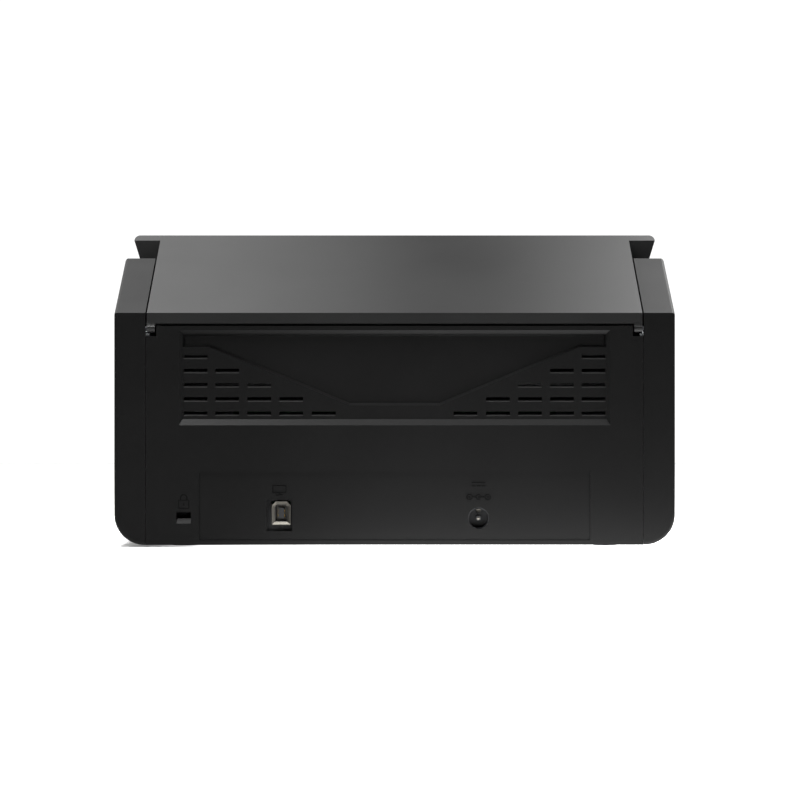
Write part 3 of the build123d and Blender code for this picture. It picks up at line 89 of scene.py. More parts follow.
def finish(tree, shader):
    addNode(tree, "ShaderNodeOutputMaterial", links={"Surface": shader.outputs[0]})


def setRamp(ramp, stops):
    elements = ramp.color_ramp.elements
    while len(elements) < len(stops):
        elements.new(0.5)
    for element, (position, colour) in zip(elements, stops):
        element.position = position
        element.color = colour


# spark-eroded tool texture on black ABS, as on most office machine housings; natural acetal is smoother
# and paler
grain = {
    "caseAbs": {"dark": "#080808", "light": "#090909", "grainMm": 0.55, "depthMm": 0.030,
                "rough": (0.38, 0.44), "specular": 0.085},
    "lidAbs": {"dark": "#111111", "light": "#141414", "grainMm": 0.50, "depthMm": 0.022,
               "rough": (0.36, 0.40), "specular": 0.20},
    "innerAbs": {"dark": "#121315", "light": "#151618", "grainMm": 0.80, "depthMm": 0.015,
                 "rough": (0.45, 0.55), "specular": 0.30},
    "trayAbs": {"dark": "#232427", "light": "#28292c", "grainMm": 0.60, "depthMm": 0.025,
                "rough": (0.45, 0.55), "specular": 0.30},
    "buttonAbs": {"dark": "#2e2f33", "light": "#323338", "grainMm": 0.30, "depthMm": 0.006,
                  "rough": (0.28, 0.34), "specular": 0.50},
    "acetal": {"dark": "#d4d2c8", "light": "#e0ded6", "grainMm": 1.20, "depthMm": 0.008,
               "rough": (0.35, 0.45), "specular": 0.50},
}
flowMark = 18.0  # gloss clouds in a metre, one in about 55 mm


def mouldedPlastic(name, values):
    # low gloss moulding: a fine even grain breaks up the highlight, with faint flow marks in the gloss
    material, tree = newMaterial(name)
    place = addNode(tree, "ShaderNodeTexCoord").outputs["Object"]
    fine = addNode(tree, "ShaderNodeTexNoise",
                   inputs={"Scale": 1 / (values["grainMm"] * mm), "Detail": 3.0, "Roughness": 0.6},
                   links={"Vector": place})
    broad = addNode(tree, "ShaderNodeTexNoise", inputs={"Scale": flowMark, "Detail": 4.0},
                    links={"Vector": place})
    colour = addNode(tree, "ShaderNodeValToRGB", links={"Fac": broad.outputs["Fac"]})
    setRamp(colour, [(0.35, hexColour(values["dark"])), (0.65, hexColour(values["light"]))])
    low, high = values["rough"]
    gloss = addNode(tree, "ShaderNodeMapRange",
                    inputs={"From Min": 0.3, "From Max": 0.7, "To Min": low, "To Max": high},
                    links={"Value": broad.outputs["Fac"]})
    bump = addNode(tree, "ShaderNodeBump", inputs={"Strength": 0.6, "Distance": values["depthMm"] * mm},
                   links={"Height": fine.outputs["Fac"]})
    shader = addNode(tree, "ShaderNodeBsdfPrincipled",
                     inputs={"IOR": 1.5, "Specular IOR Level": values["specular"]},
                     links={"Base Color": colour.outputs["Color"], "Roughness": gloss.outputs["Result"],
                            "Normal": bump.outputs["Normal"]})
    finish(tree, shader)
    return material


metals = {
    "turnedSteel": {"colour": "#b9babb", "rough": (0.18, 0.30), "streakMm": 0.4, "stretch": (0.05, 1.0, 1.0)},
    "zincSheet": {"colour": "#8a8d8e", "rough": (0.34, 0.50), "streakMm": 7.0, "stretch": (1.0, 1.0, 1.0)},
    "nickelShell": {"colour": "#54524d", "rough": (0.32, 0.42), "streakMm": 1.5, "stretch": (1.0, 1.0, 0.2)},
    "blackZincScrew": {"colour": "#2c2c2e", "rough": (0.35, 0.5),
                       "streakMm": 0.6, "stretch": (1.0, 1.0, 1.0)},
    "giltContact": {"colour": "#c9a040", "rough": (0.22, 0.32), "streakMm": 0.8, "stretch": (1.0, 0.3, 1.0)},
}


def bareMetal(name, values):
    # bare or plated metal: lathe lines on shafts, spangle on zinc sheet, drawing lines on the nickel shell,
    # a dull black on screws and hinge pins, and a soft yellow gleam on the gilt contacts
    material, tree = newMaterial(name)
    place = addNode(tree, "ShaderNodeTexCoord").outputs["Object"]
    mapped = addNode(tree, "ShaderNodeMapping", inputs={"Scale": values["stretch"]}, links={"Vector": place})
    streak = addNode(tree, "ShaderNodeTexNoise",
                     inputs={"Scale": 1 / (values["streakMm"] * mm), "Detail": 4.0},
                     links={"Vector": mapped.outputs["Vector"]})
    low, high = values["rough"]
    gloss = addNode(tree, "ShaderNodeMapRange",
                    inputs={"From Min": 0.3, "From Max": 0.7, "To Min": low, "To Max": high},
                    links={"Value": streak.outputs["Fac"]})
    bump = addNode(tree, "ShaderNodeBump", inputs={"Strength": 0.3, "Distance": 0.01 * mm},
                   links={"Height": streak.outputs["Fac"]})
    shader = addNode(tree, "ShaderNodeBsdfPrincipled",
                     inputs={"Base Color": hexColour(values["colour"]), "Metallic": 1.0},
                     links={"Roughness": gloss.outputs["Result"], "Normal": bump.outputs["Normal"]})
    finish(tree, shader)
    return material


rubbers = {
    "rollerRubber": {"dark": "#3b3c40", "light": "#46474c", "grainMm": 0.35, "depthMm": 0.05, "rough": 0.72},
    "footRubber": {"dark": "#141415", "light": "#1c1c1e", "grainMm": 0.60, "depthMm": 0.04, "rough": 0.80},
    "beltRubber": {"dark": "#121213", "light": "#1a1a1b", "grainMm": 0.50, "depthMm": 0.04, "rough": 0.70},
    # near-black matt foam: painted shade for the insides of the USB socket and the lock slot
    "paintedShadeFoam": {"dark": "#060607", "light": "#0b0b0c", "grainMm": 0.40, "depthMm": 0.08, "rough": 0.95},
}


def mouldedRubber(name, values):
    # ground or moulded rubber, and the near-black foam that is painted shade inside the sockets and the lock
    # slot: matt, with dust held in a fine grain
    material, tree = newMaterial(name)
    place = addNode(tree, "ShaderNodeTexCoord").outputs["Object"]
    grit = addNode(tree, "ShaderNodeTexNoise", inputs={"Scale": 1 / (values["grainMm"] * mm), "Detail": 5.0},
                   links={"Vector": place})
    colour = addNode(tree, "ShaderNodeValToRGB", links={"Fac": grit.outputs["Fac"]})
    setRamp(colour, [(0.35, hexColour(values["dark"])), (0.7, hexColour(values["light"]))])
    bump = addNode(tree, "ShaderNodeBump", inputs={"Strength": 0.7, "Distance": values["depthMm"] * mm},
                   links={"Height": grit.outputs["Fac"]})
    shader = addNode(tree, "ShaderNodeBsdfPrincipled", inputs={"Roughness": values["rough"], "IOR": 1.52},
                     links={"Base Color": colour.outputs["Color"], "Normal": bump.outputs["Normal"]})
    finish(tree, shader)
    return material


board = {"mask": "#0d3a22", "track": "#1c5a36", "trackMm": 2.4, "rough": 0.28, "raisedMm": 0.03}


def solderMask(name, values):
    # lacquered circuit board: copper tracks show lighter through the green mask
    material, tree = newMaterial(name)
    place = addNode(tree, "ShaderNodeTexCoord").outputs["Object"]
    tracks = addNode(tree, "ShaderNodeTexBrick",
                     inputs={"Scale": 1 / (values["trackMm"] * mm) / 4, "Mortar Size": 0.03,
                             "Color1": hexColour(values["mask"]), "Color2": hexColour(values["mask"]),
                             "Mortar": hexColour(values["track"])}, links={"Vector": place})
    bump = addNode(tree, "ShaderNodeBump", inputs={"Strength": 0.4, "Distance": values["raisedMm"] * mm},
                   links={"Height": tracks.outputs["Fac"]})
    shader = addNode(tree, "ShaderNodeBsdfPrincipled", inputs={"Roughness": values["rough"]},
                     links={"Base Color": tracks.outputs["Color"], "Normal": bump.outputs["Normal"]})
    finish(tree, shader)
    return material


glass = {"tint": "#dfeeea", "rough": (0.02, 0.08), "passed": 0.9}


def scanGlass(name, values):
    # float glass strip over a dark sensor, with faint wiping smears
    material, tree = newMaterial(name)
    place = addNode(tree, "ShaderNodeTexCoord").outputs["Object"]
    smear = addNode(tree, "ShaderNodeTexNoise", inputs={"Scale": 25.0, "Detail": 3.0},
                    links={"Vector": place})
    low, high = values["rough"]
    gloss = addNode(tree, "ShaderNodeMapRange", inputs={"To Min": low, "To Max": high},
                    links={"Value": smear.outputs["Fac"]})
    shader = addNode(tree, "ShaderNodeBsdfPrincipled",
                     inputs={"Base Color": hexColour(values["tint"]), "Transmission Weight": values["passed"],
                             "IOR": 1.52},
                     links={"Roughness": gloss.outputs["Result"]})
    finish(tree, shader)
    return material


plastics = {name: mouldedPlastic(name, values) for name, values in grain.items()}
metalwork = {name: bareMetal(name, values) for name, values in metals.items()}
rubberwork = {name: mouldedRubber(name, values) for name, values in rubbers.items()}
finishes = {  # by the record's slots
    "case_plastic": plastics["caseAbs"],
    "lid_plastic": plastics["lidAbs"],
    "inner_plastic": plastics["innerAbs"],
    "tray_plastic": plastics["trayAbs"],
    "button_plastic": plastics["buttonAbs"],
    "white_plastic": plastics["acetal"],
    "steel": metalwork["turnedSteel"],
    "sheet_steel": metalwork["zincSheet"],
    "socket_metal": metalwork["nickelShell"],
    "roller_rubber": rubberwork["rollerRubber"],
    "foot_rubber": rubberwork["footRubber"],
    "belt_rubber": rubberwork["beltRubber"],
    "board": solderMask("solderMask", board),
    "glass": scanGlass("scanGlass", glass),
}
# the foam finish is painted shade, near-black where those insides fall in shadow
blackZinc, gilt, shadeFoam = metalwork["blackZincScrew"], metalwork["giltContact"], rubberwork["paintedShadeFoam"]
for entry in frame["record"]["subparts"]:
    part = nodes[entry["node"]]
    part.data.materials.clear()
    part.data.materials.append(finishes[entry["material_slot"]])
for name in ("lid_hinge_pins", "cover_hinge_pins"):
    nodes[name].data.materials[0] = blackZinc
print("finishes:", len(finishes))


def newPiece(name, body, mesh, material):
    # a small part made here, riding on a body of the frame
    mesh.materials.clear()
    mesh.materials.append(material)
    made = bpy.data.objects.new(name, mesh)
    scene.collection.objects.link(made)
    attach(made, body)


def addBox(mesh, centre, size, bevel=0.0, turn=Matrix()):
    # box in a bmesh, sizes in metres
    corners = bmesh.ops.create_cube(mesh, size=1.0)["verts"]
    place = Matrix.Translation(centre) @ turn @ Matrix.Diagonal((*size, 1.0))
    bmesh.ops.transform(mesh, matrix=place, verts=corners)
    if bevel:
        edges = list({edge for corner in corners for edge in corner.link_edges})
        bmesh.ops.bevel(mesh, geom=edges, offset=bevel, segments=2, affect="EDGES", profile=0.5)


def fromBmesh(name, mesh):
    data = bpy.data.meshes.new(name)
    mesh.to_mesh(data)
    mesh.free()
    return data


# planes that the small parts stand on: a point, the direction to the right and the one up
def sloping(point, degrees):
    # plane that rises towards the back, its point in mm
    angle = math.radians(degrees)
    return {"point": Vector(point) * mm, "right": Vector((1, 0, 0)),
            "up": Vector((0, math.cos(angle), math.sin(angle)))}


def facing(plane):
    return plane["right"].cross(plane["up"])


def on(plane, across, up):
    # point of a plane, distances in mm
    return plane["point"] + (across * plane["right"] + up * plane["up"]) * mm


rearFace = {"point": Vector((0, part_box("rear_cover")[1].y, 0)), "right": Vector((-1, 0, 0)),
            "up": Vector((0, 0, 1))}
chute = sloping((0, 76.0, 108.0), 42.0)
front = sloping((0, -80.17, 35.0), 69.0)
capStand = 0.8  # mm that the button caps stand above the cover
caps = {**front, "point": front["point"] + facing(front) * capStand * mm}


def arc(across, up, radius, start, end, count=16):
    # points of an arc in mm, angles in degrees
    angles = [math.radians(start + (end - start) * step / count) for step in range(count + 1)]
    return [(across + radius * math.cos(angle), up + radius * math.sin(angle)) for angle in angles]


def frameOf(left, low, right, high):
    return [(left, low), (right, low), (right, high), (left, high), (left, low)]


# signs without words: strokes in mm, each a list of points
signs = {
    "padlock": [frameOf(-2.7, 0, 2.7, 4.2), [(-1.7, 4.2), *arc(0, 5.4, 1.7, 180, 0), (1.7, 4.2)],
                [(0, 1.4), (0, 2.8)]],
    "computer": [frameOf(-3.4, 1.2, 3.4, 4.9), [(0, 1.2), (0, 0)], [(-1.8, 0), (1.8, 0)]],
    "directCurrent": [[(-3.6, 0.9), (3.6, 0.9)], [(-3.6, -0.9), (-1.6, -0.9)], [(-1.0, -0.9), (1.0, -0.9)],
                      [(1.6, -0.9), (3.6, -0.9)]],
    "polarity": [arc(0, 0, 1.3, 45, 315), [(-0.1, 0), (0.1, 0)], [(-3.4, 0), (-1.3, 0)], [(0, 0), (3.4, 0)],
                 arc(-4.8, 0, 1.4, 0, 360), [(-5.4, 0), (-4.2, 0)], arc(4.8, 0, 1.4, 0, 360),
                 [(4.2, 0), (5.4, 0)], [(4.8, -0.6), (4.8, 0.6)]],
    "power": [arc(0, 0, 2.3, 125, 415), [(0, 0.6), (0, 2.9)]],
    "start": [[(0, 3.0), (3.0, 0), (0, -3.0), (-3.0, 0), (0, 3.0)], [(0, -1.3), (0, 1.3)]],
    "stop": [arc(0, 0, 2.6, 0, 360, 24), frameOf(-1.0, -1.0, 1.0, 1.0)],
}
# width in mm, and the share of a stroke's thickness that stands above the surface
strokeStyles = {
    "marked": {"width": 0.55, "proud": 0.3},
    "capPrint": {"width": 0.40, "proud": 0.12},
    "chutePrint": {"width": 0.40, "proud": 0.1},
}


def strokes(name, plane, place, lines, style):
    # strokes that stand a little proud of a plane, as one mesh
    curve = bpy.data.curves.new(name, "CURVE")
    curve.dimensions = "3D"
    curve.bevel_depth = style["width"] / 2 * mm
    curve.bevel_resolution = 2
    curve.use_fill_caps = True
    for line in lines:
        spline = curve.splines.new("POLY")
        spline.points.add(len(line) - 1)
        for point, (across, up) in zip(spline.points, line):
            point.co = (*on(plane, place[0] + across, place[1] + up), 1.0)
    drawn = bpy.data.objects.new(name, curve)
    data = bpy.data.meshes.new_from_object(drawn)
    bpy.data.objects.remove(drawn)
    outward = facing(plane)
    for vertex in data.vertices:
        height = (vertex.co - plane["point"]).dot(outward)
        vertex.co -= outward * height * (1 - style["proud"])
    return data


clouded = {  # perMm: clouds in each mm
    "laserMark": {"dark": "#060606", "light": "#0a0a0a", "perMm": 0.9,
                  "surface": {"Roughness": 0.9, "Specular IOR Level": 0.03}},
    "greyPrint": {"dark": "#8c8f93", "light": "#9a9da1", "perMm": 0.9,
                  "surface": {"Roughness": 0.9, "Specular IOR Level": 0.03}},
    "frostedLens": {"dark": "#aab4bd", "light": "#c2cbd2", "perMm": 1.2,
                    "surface": {"Roughness": 0.3, "Subsurface Weight": 0.2, "IOR": 1.49}},
}


def cloudedSurface(name, values):
    # laser darkened plastic, printed ink or frosted acrylic: one colour, slightly uneven
    material, tree = newMaterial(name)
    place = addNode(tree, "ShaderNodeTexCoord").outputs["Object"]
    cloud = addNode(tree, "ShaderNodeTexNoise", inputs={"Scale": values["perMm"] / mm, "Detail": 2.0},
                    links={"Vector": place})
    shade = addNode(tree, "ShaderNodeValToRGB", links={"Fac": cloud.outputs["Fac"]})
    setRamp(shade, [(0.3, hexColour(values["dark"])), (0.7, hexColour(values["light"]))])
    shader = addNode(tree, "ShaderNodeBsdfPrincipled", inputs=values["surface"],
                     links={"Base Color": shade.outputs["Color"]})
    finish(tree, shader)
    return material


inks = {name: cloudedSurface(name, values) for name, values in clouded.items()}
signPlaces = {  # sign, and its place across and up in mm
    "lockSign": ("padlock", (-111.3, 20.2)),
    "usbSign": ("computer", (-60.8, 27.2)),
    "powerSign": ("directCurrent", (44.3, 32.8)),
    "polaritySign": ("polarity", (44.3, 26.0)),
}
for name, (sign, place) in signPlaces.items():
    newPiece(name, "base",
             strokes(name, rearFace, place, signs[sign], strokeStyles["marked"]), inks["laserMark"])
print("rear signs:", len(signPlaces))


def addRing(mesh, outer, inner, back, front):
    # rectangular collar between two depths, each rectangle left, right, low, high, all in mm
    loops = []
    for depth in (back, front):
        for left, right, low, high in (outer, inner):
            loops.append([mesh.verts.new((x * mm, depth * mm, z * mm))
                          for x, z in ((left, low), (right, low), (right, high), (left, high))])
    backOuter, backInner, frontOuter, frontInner = loops
    for one, other in ((backOuter, backInner), (frontOuter, frontInner), (backOuter, frontOuter),
                       (backInner, frontInner)):
        for step in range(4):
            after = (step + 1) % 4
            mesh.faces.new((one[step], one[after], other[after], other[step]))
    bmesh.ops.recalc_face_normals(mesh, faces=mesh.faces[:])


def addStrip(mesh, line, left, right, thick):
    # bent sheet strip: a line of (depth, height) points in mm between two sides
    rows = []
    for shift in (0, thick):
        for side in (left, right):
            rows.append([mesh.verts.new((side * mm, depth * mm, (height + shift) * mm))
                         for depth, height in line])
    lowLeft, lowRight, highLeft, highRight = rows
    pairs = [(lowLeft, lowRight), (highRight, highLeft), (lowRight, highRight), (highLeft, lowLeft)]
    for one, other in pairs:
        for step in range(len(line) - 1):
            mesh.faces.new((one[step], one[step + 1], other[step + 1], other[step]))
    for end in (0, -1):
        mesh.faces.new([row[end] for row in (lowLeft, lowRight, highRight, highLeft)])
    bmesh.ops.recalc_face_normals(mesh, faces=mesh.faces[:])


def turned(mesh, profile, across, height, count=32):
    # turned shape on an axis along the depth: (depth, radius) points in mm, closed at both ends
    rings = []
    for depth, radius in profile:
        if radius == 0:
            rings.append([mesh.verts.new((across * mm, depth * mm, height * mm))])
            continue
        rings.append([mesh.verts.new(((across + radius * math.cos(turn)) * mm, depth * mm,
                                      (height + radius * math.sin(turn)) * mm))
                      for turn in (2 * math.pi * step / count for step in range(count))])
    for one, other in zip(rings, rings[1:]):
        for step in range(count):
            after = (step + 1) % count
            corners = [one[step % len(one)], one[after % len(one)], other[after % len(other)],
                       other[step % len(other)]]
            mesh.faces.new(list(dict.fromkeys(corners)))
    bmesh.ops.recalc_face_normals(mesh, faces=mesh.faces[:])


def around(middle, half, wall=0.0):
    # rectangle round a middle: left, right, low and high, in mm
    (x, z), (halfX, halfZ) = middle, half
    return x - halfX - wall, x + halfX + wall, z - halfZ - wall, z + halfZ + wall


def insetFrom(low, high, distance):
    # rectangle inside a box's own, in mm
    return low.x + distance, high.x - distance, low.z + distance, high.z - distance


# black foam collar that closes the gap round the USB shell; its near-black finish is painted shade in that
# gap
usbShadeCollar = {"opening": (60.8, 16.5), "half": (6.7, 8.3), "wall": 1.2, "slack": 0.03,
             "back": 77.6, "front": 80.6}
shellLow, shellHigh = [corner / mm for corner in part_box("usb_socket")]
mesh = bmesh.new()
addRing(mesh, around(usbShadeCollar["opening"], usbShadeCollar["half"], usbShadeCollar["wall"]),
        insetFrom(shellLow, shellHigh, -usbShadeCollar["slack"]), usbShadeCollar["back"], usbShadeCollar["front"])
newPiece("usbShadeCollar", "base", fromBmesh("usbShadeCollar", mesh), shadeFoam)

# dark pocket behind the lock slot, which shares that finish too: near-black painted shade inside the slot
lockShadePocket = {"middle": (111.3, 16.6), "half": (4.6, 2.4), "wall": 0.8, "back": 73.0, "front": 80.3}
(lockX, lockZ), (halfX, halfZ), wall = lockShadePocket["middle"], lockShadePocket["half"], lockShadePocket["wall"]
mesh = bmesh.new()
addRing(mesh, around(lockShadePocket["middle"], lockShadePocket["half"], wall),
        around(lockShadePocket["middle"], lockShadePocket["half"]), lockShadePocket["back"], lockShadePocket["front"])
addBox(mesh, Vector((lockX, lockShadePocket["back"] + wall / 2, lockZ)) * mm,
       Vector((2 * halfX + wall, wall, 2 * halfZ + wall)) * mm)
newPiece("lockShadePocket", "base", fromBmesh("lockShadePocket", mesh), shadeFoam)

# rounded pin end and leaf spring in the power inlet, both nickel
inlet = {"across": -44.3, "height": 14.9,
         "pinProfile": [(77.0, 0), (77.0, 1.32), (80.8, 1.32), (81.25, 1.1), (81.5, 0.6), (81.58, 0)],
         "springLine": [(73.0, 19.4), (75.0, 18.6), (77.0, 17.9), (78.4, 17.8), (79.6, 18.3), (80.6, 19.3)],
         "springHalf": 1.1, "springThick": 0.3}
mesh = bmesh.new()
turned(mesh, inlet["pinProfile"], inlet["across"], inlet["height"])
newPiece("inletPin", "base", fromBmesh("inletPin", mesh), finishes["socket_metal"])
mesh = bmesh.new()
addStrip(mesh, inlet["springLine"], inlet["across"] - inlet["springHalf"],
         inlet["across"] + inlet["springHalf"], inlet["springThick"])
newPiece("inletSpring", "base", fromBmesh("inletSpring", mesh), finishes["socket_metal"])

# near-black sleeve inside the USB shell behind its flared mouth, in the matt foam finish: painted shade where
# the shell's inside falls in shadow
usbShadeLiner = {"flare": 1.75, "bite": 0.1, "wall": 0.35, "back": 71.4}
mesh = bmesh.new()
addRing(mesh, insetFrom(shellLow, shellHigh, usbShadeLiner["flare"] - usbShadeLiner["bite"]),
        insetFrom(shellLow, shellHigh, usbShadeLiner["flare"] + usbShadeLiner["wall"]),
        usbShadeLiner["back"], shellHigh.y - usbShadeLiner["flare"])
newPiece("usbShadeLiner", "base", fromBmesh("usbShadeLiner", mesh), shadeFoam)

# four gilt contacts, two on each side of the USB tongue
usbContacts = {"size": (0.14, 7.6, 1.1), "bevel": 0.04, "outside": 0.05, "fromEnd": 1.6, "ahead": 0.3}
tongueLow, tongueHigh = [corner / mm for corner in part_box("usb_tongue")]
depth = (tongueLow.y + tongueHigh.y) / 2 + usbContacts["ahead"]
mesh = bmesh.new()
for x in (tongueLow.x - usbContacts["outside"], tongueHigh.x + usbContacts["outside"]):
    for z in (tongueLow.z + usbContacts["fromEnd"], tongueHigh.z - usbContacts["fromEnd"]):
        addBox(mesh, Vector((x, depth, z)) * mm, Vector(usbContacts["size"]) * mm, usbContacts["bevel"] * mm)
newPiece("usbContacts", "base", fromBmesh("usbContacts", mesh), gilt)
print("sockets dressed")

# signs on the button caps, and a small lens beyond the power button, on the sloping front
capSigns = {  # body, sign, and its place across and up in mm
    "powerMark": ("power_button", "power", (104.0, 92.0)),
    "scanMark": ("scan_button", "start", (84.0, 92.0)),
    "stopMark": ("stop_button", "stop", (62.0, 92.0)),
}
for name, (body, sign, place) in capSigns.items():
    newPiece(name, body,
             strokes(name, caps, place, signs[sign], strokeStyles["capPrint"]), inks["greyPrint"])
statusLens = {"place": (104.0, 101.6), "size": (4.0, 1.3), "proud": 0.3, "bevel": 0.25}  # mm
mesh = bmesh.new()
tilt = Matrix((front["right"], front["up"], facing(front))).transposed().to_4x4()
addBox(mesh, on(front, *statusLens["place"]), Vector((*statusLens["size"], 2 * statusLens["proud"])) * mm,
       statusLens["bevel"] * mm, tilt)
newPiece("statusLens", "front_cover", fromBmesh("statusLens", mesh), inks["frostedLens"])

# page widths on the chute: a tick at each edge of the common sheets, without words
# half the sheet's width and the tick's length, in mm
sheetTicks = {"letter": (108.0, 3.0), "a4": (105.0, 6.0), "a5": (74.0, 6.0), "a6": (52.5, 4.0)}
tickStart = -3.0  # mm along the chute, from its upper edge
ticks = [[(side * edge, tickStart), (side * edge, tickStart - length)] for side in (1, -1)
         for edge, length in sheetTicks.values()]
newPiece("sheetTicks", "base",
         strokes("sheetTicks", chute, (0, 0), ticks, strokeStyles["chutePrint"]), inks["greyPrint"])
print("front signs and chute ticks")

headShape = {"sides": 24, "crown": 0.8, "recessWidth": 0.22,  # the last two as shares of the head's radius
             "mostTurn": 3.14, "seed": 7}


def screwTree(name):
    # cross-recessed pan heads, one on each point, along the point's own direction
    tree = bpy.data.node_groups.new(name, "GeometryNodeTree")
    sockets = {}
    for label, kind in (("Geometry", "NodeSocketGeometry"), ("Head radius", "NodeSocketFloat"),
                        ("Head height", "NodeSocketFloat"), ("Recess span", "NodeSocketFloat"),
                        ("Recess width", "NodeSocketFloat"), ("Finish", "NodeSocketMaterial")):
        sockets[label] = tree.interface.new_socket(name=label, in_out="INPUT", socket_type=kind).identifier
    tree.interface.new_socket(name="Geometry", in_out="OUTPUT", socket_type="NodeSocketGeometry")
    given = addNode(tree, "NodeGroupInput").outputs
    crown = addNode(tree, "ShaderNodeMath", {"operation": "MULTIPLY"}, {1: headShape["crown"]},
                    {0: given["Head radius"]})
    head = addNode(tree, "GeometryNodeMeshCone", inputs={"Vertices": headShape["sides"]},
                   links={"Radius Top": crown.outputs[0], "Radius Bottom": given["Head radius"],
                          "Depth": given["Head height"]})
    arms = addNode(tree, "GeometryNodeJoinGeometry")
    for span, width in (("Recess span", "Recess width"), ("Recess width", "Recess span")):
        size = addNode(tree, "ShaderNodeCombineXYZ",
                       links={"X": given[span], "Y": given[width], "Z": given["Head height"]})
        arm = addNode(tree, "GeometryNodeMeshCube", links={"Size": size.outputs[0]})
        tree.links.new(arm.outputs["Mesh"], arms.inputs[0])
    lift = addNode(tree, "ShaderNodeCombineXYZ", links={"Z": given["Head height"]})
    cutter = addNode(tree, "GeometryNodeTransform",
                     links={"Geometry": arms.outputs[0], "Translation": lift.outputs[0]})
    cut = addNode(tree, "GeometryNodeMeshBoolean", {"operation": "DIFFERENCE", "solver": "EXACT"},
                  {"Self Intersection": True},
                  {"Mesh 1": head.outputs["Mesh"], "Mesh 2": cutter.outputs["Geometry"]})
    away = addNode(tree, "GeometryNodeInputNamedAttribute", {"data_type": "FLOAT_VECTOR"}, {"Name": "facing"})
    along = addNode(tree, "FunctionNodeAlignRotationToVector", {"axis": "Z"},
                    links={"Vector": away.outputs["Attribute"]})
    chance = addNode(tree, "FunctionNodeRandomValue", {"data_type": "FLOAT"},
                     {3: headShape["mostTurn"], "Seed": headShape["seed"]})
    spin = addNode(tree, "ShaderNodeCombineXYZ", links={"Z": chance.outputs[1]})
    turn = addNode(tree, "FunctionNodeEulerToRotation", links={0: spin.outputs[0]})
    posed = addNode(tree, "FunctionNodeRotateRotation", {"rotation_space": "LOCAL"},
                    links={0: along.outputs[0], 1: turn.outputs[0]})
    placed = addNode(tree, "GeometryNodeInstanceOnPoints",
                     links={"Points": given["Geometry"], "Instance": cut.outputs["Mesh"],
                            "Rotation": posed.outputs[0]})
    real = addNode(tree, "GeometryNodeRealizeInstances", links={"Geometry": placed.outputs["Instances"]})
    painted = addNode(tree, "GeometryNodeSetMaterial",
                      links={"Geometry": real.outputs["Geometry"], "Material": given["Finish"]})
    addNode(tree, "NodeGroupOutput", links={0: painted.outputs["Geometry"]})
    return tree, sockets


screws = {  # head radius and height in mm, finish, then place and direction of each head
    "floorScrews": (2.8, 0.5, blackZinc,
                    [((x, y, 0.8), (0, 0, -1)) for x in (-122.0, 122.0) for y in (-44.0, 40.0)]),
    "frameScrews": (2.6, 0.4, finishes["steel"],
                    [((side * 129.5, y, z), (-side, 0, 0)) for side in (1, -1)
                     for y, z in ((75.0, 92.0), (-20.0, 128.0))]),
    "braceScrews": (2.6, 1.2, finishes["steel"],
                    [((x, 65.2, z), (0, -1, 0)) for x in (-118.0, 118.0) for z in (33.0, 56.0)]),
}
heads, headSockets = screwTree("panHeadScrews")
for name, (radius, height, metal, places) in screws.items():
    points = bpy.data.meshes.new(name)
    points.from_pydata([tuple(value * mm for value in spot) for spot, away in places], [], [])
    aim = points.attributes.new("facing", "FLOAT_VECTOR", "POINT")
    for item, (spot, away) in zip(aim.data, places):
        item.vector = away
    holder = bpy.data.objects.new(name + "Points", points)
    scene.collection.objects.link(holder)
    grown = holder.modifiers.new("screws", "NODES")
    grown.node_group = heads
    for label, value in (("Head radius", radius * mm), ("Head height", height * mm),
                         ("Recess span", radius * mm),
                         ("Recess width", radius * headShape["recessWidth"] * mm), ("Finish", metal)):
        grown[headSockets[label]] = value
    mesh = bpy.data.meshes.new_from_object(holder.evaluated_get(bpy.context.evaluated_depsgraph_get()))
    holder.modifiers.remove(grown)
    bpy.data.objects.remove(holder)
    mesh.name = name
    newPiece(name, "base", mesh, metal)
    print(name, len(mesh.vertices), "points")


# studio: a white table that glows round the machine, a lit backdrop, a wide panel and a cloth close above
# the front, both for the lid to mirror, and three soft boxes; all sizes in metres
def stagePlane(name, half, lower, upper, material, seen=True):
    # rectangle between two edges that run across, each at a depth and a height
    (lowY, lowZ), (highY, highZ) = lower, upper
    mesh = bpy.data.meshes.new(name)
    mesh.from_pydata([(-half, lowY, lowZ), (-half, highY, highZ), (half, highY, highZ), (half, lowY, lowZ)],
                     [], [(0, 1, 2, 3)])
    mesh.materials.append(material)
    made = bpy.data.objects.new(name, mesh)
    made.visible_camera = seen
    scene.collection.objects.link(made)


backdrop = {"depth": -2.4, "half": 3.2, "foot": -0.01, "top": 1.2, "strength": 1.1}
table = {"half": 3.2, "front": 1.6, "height": -0.0003, "hex": "#f4f4f4", "rough": 0.8,
         "centre": (-0.07, 0.02, 0.0), "fade": (0.08, 0.21), "glow": (7.0, 0.20)}


def glowPoolTable(values):
    # white table with painted light: its emission glows in a pool brightest round the machine and fades away
    # from it
    material, tree = newMaterial("glowPoolTable")
    place = addNode(tree, "ShaderNodeTexCoord").outputs["Object"]
    shifted = addNode(tree, "ShaderNodeVectorMath", {"operation": "SUBTRACT"}, {1: values["centre"]},
                      {0: place})
    away = addNode(tree, "ShaderNodeVectorMath", {"operation": "LENGTH"}, links={0: shifted.outputs[0]})
    (near, far), (most, least) = values["fade"], values["glow"]
    glow = addNode(tree, "ShaderNodeMapRange", {"interpolation_type": "SMOOTHSTEP"},
                   {"From Min": near, "From Max": far, "To Min": most, "To Max": least},
                   {"Value": away.outputs["Value"]})
    shader = addNode(tree, "ShaderNodeBsdfPrincipled",
                     inputs={"Base Color": hexColour(values["hex"]), "Roughness": values["rough"],
                             "Emission Color": hexColour("#ffffff")},
                     links={"Emission Strength": glow.outputs["Result"]})
    finish(tree, shader)
    return material


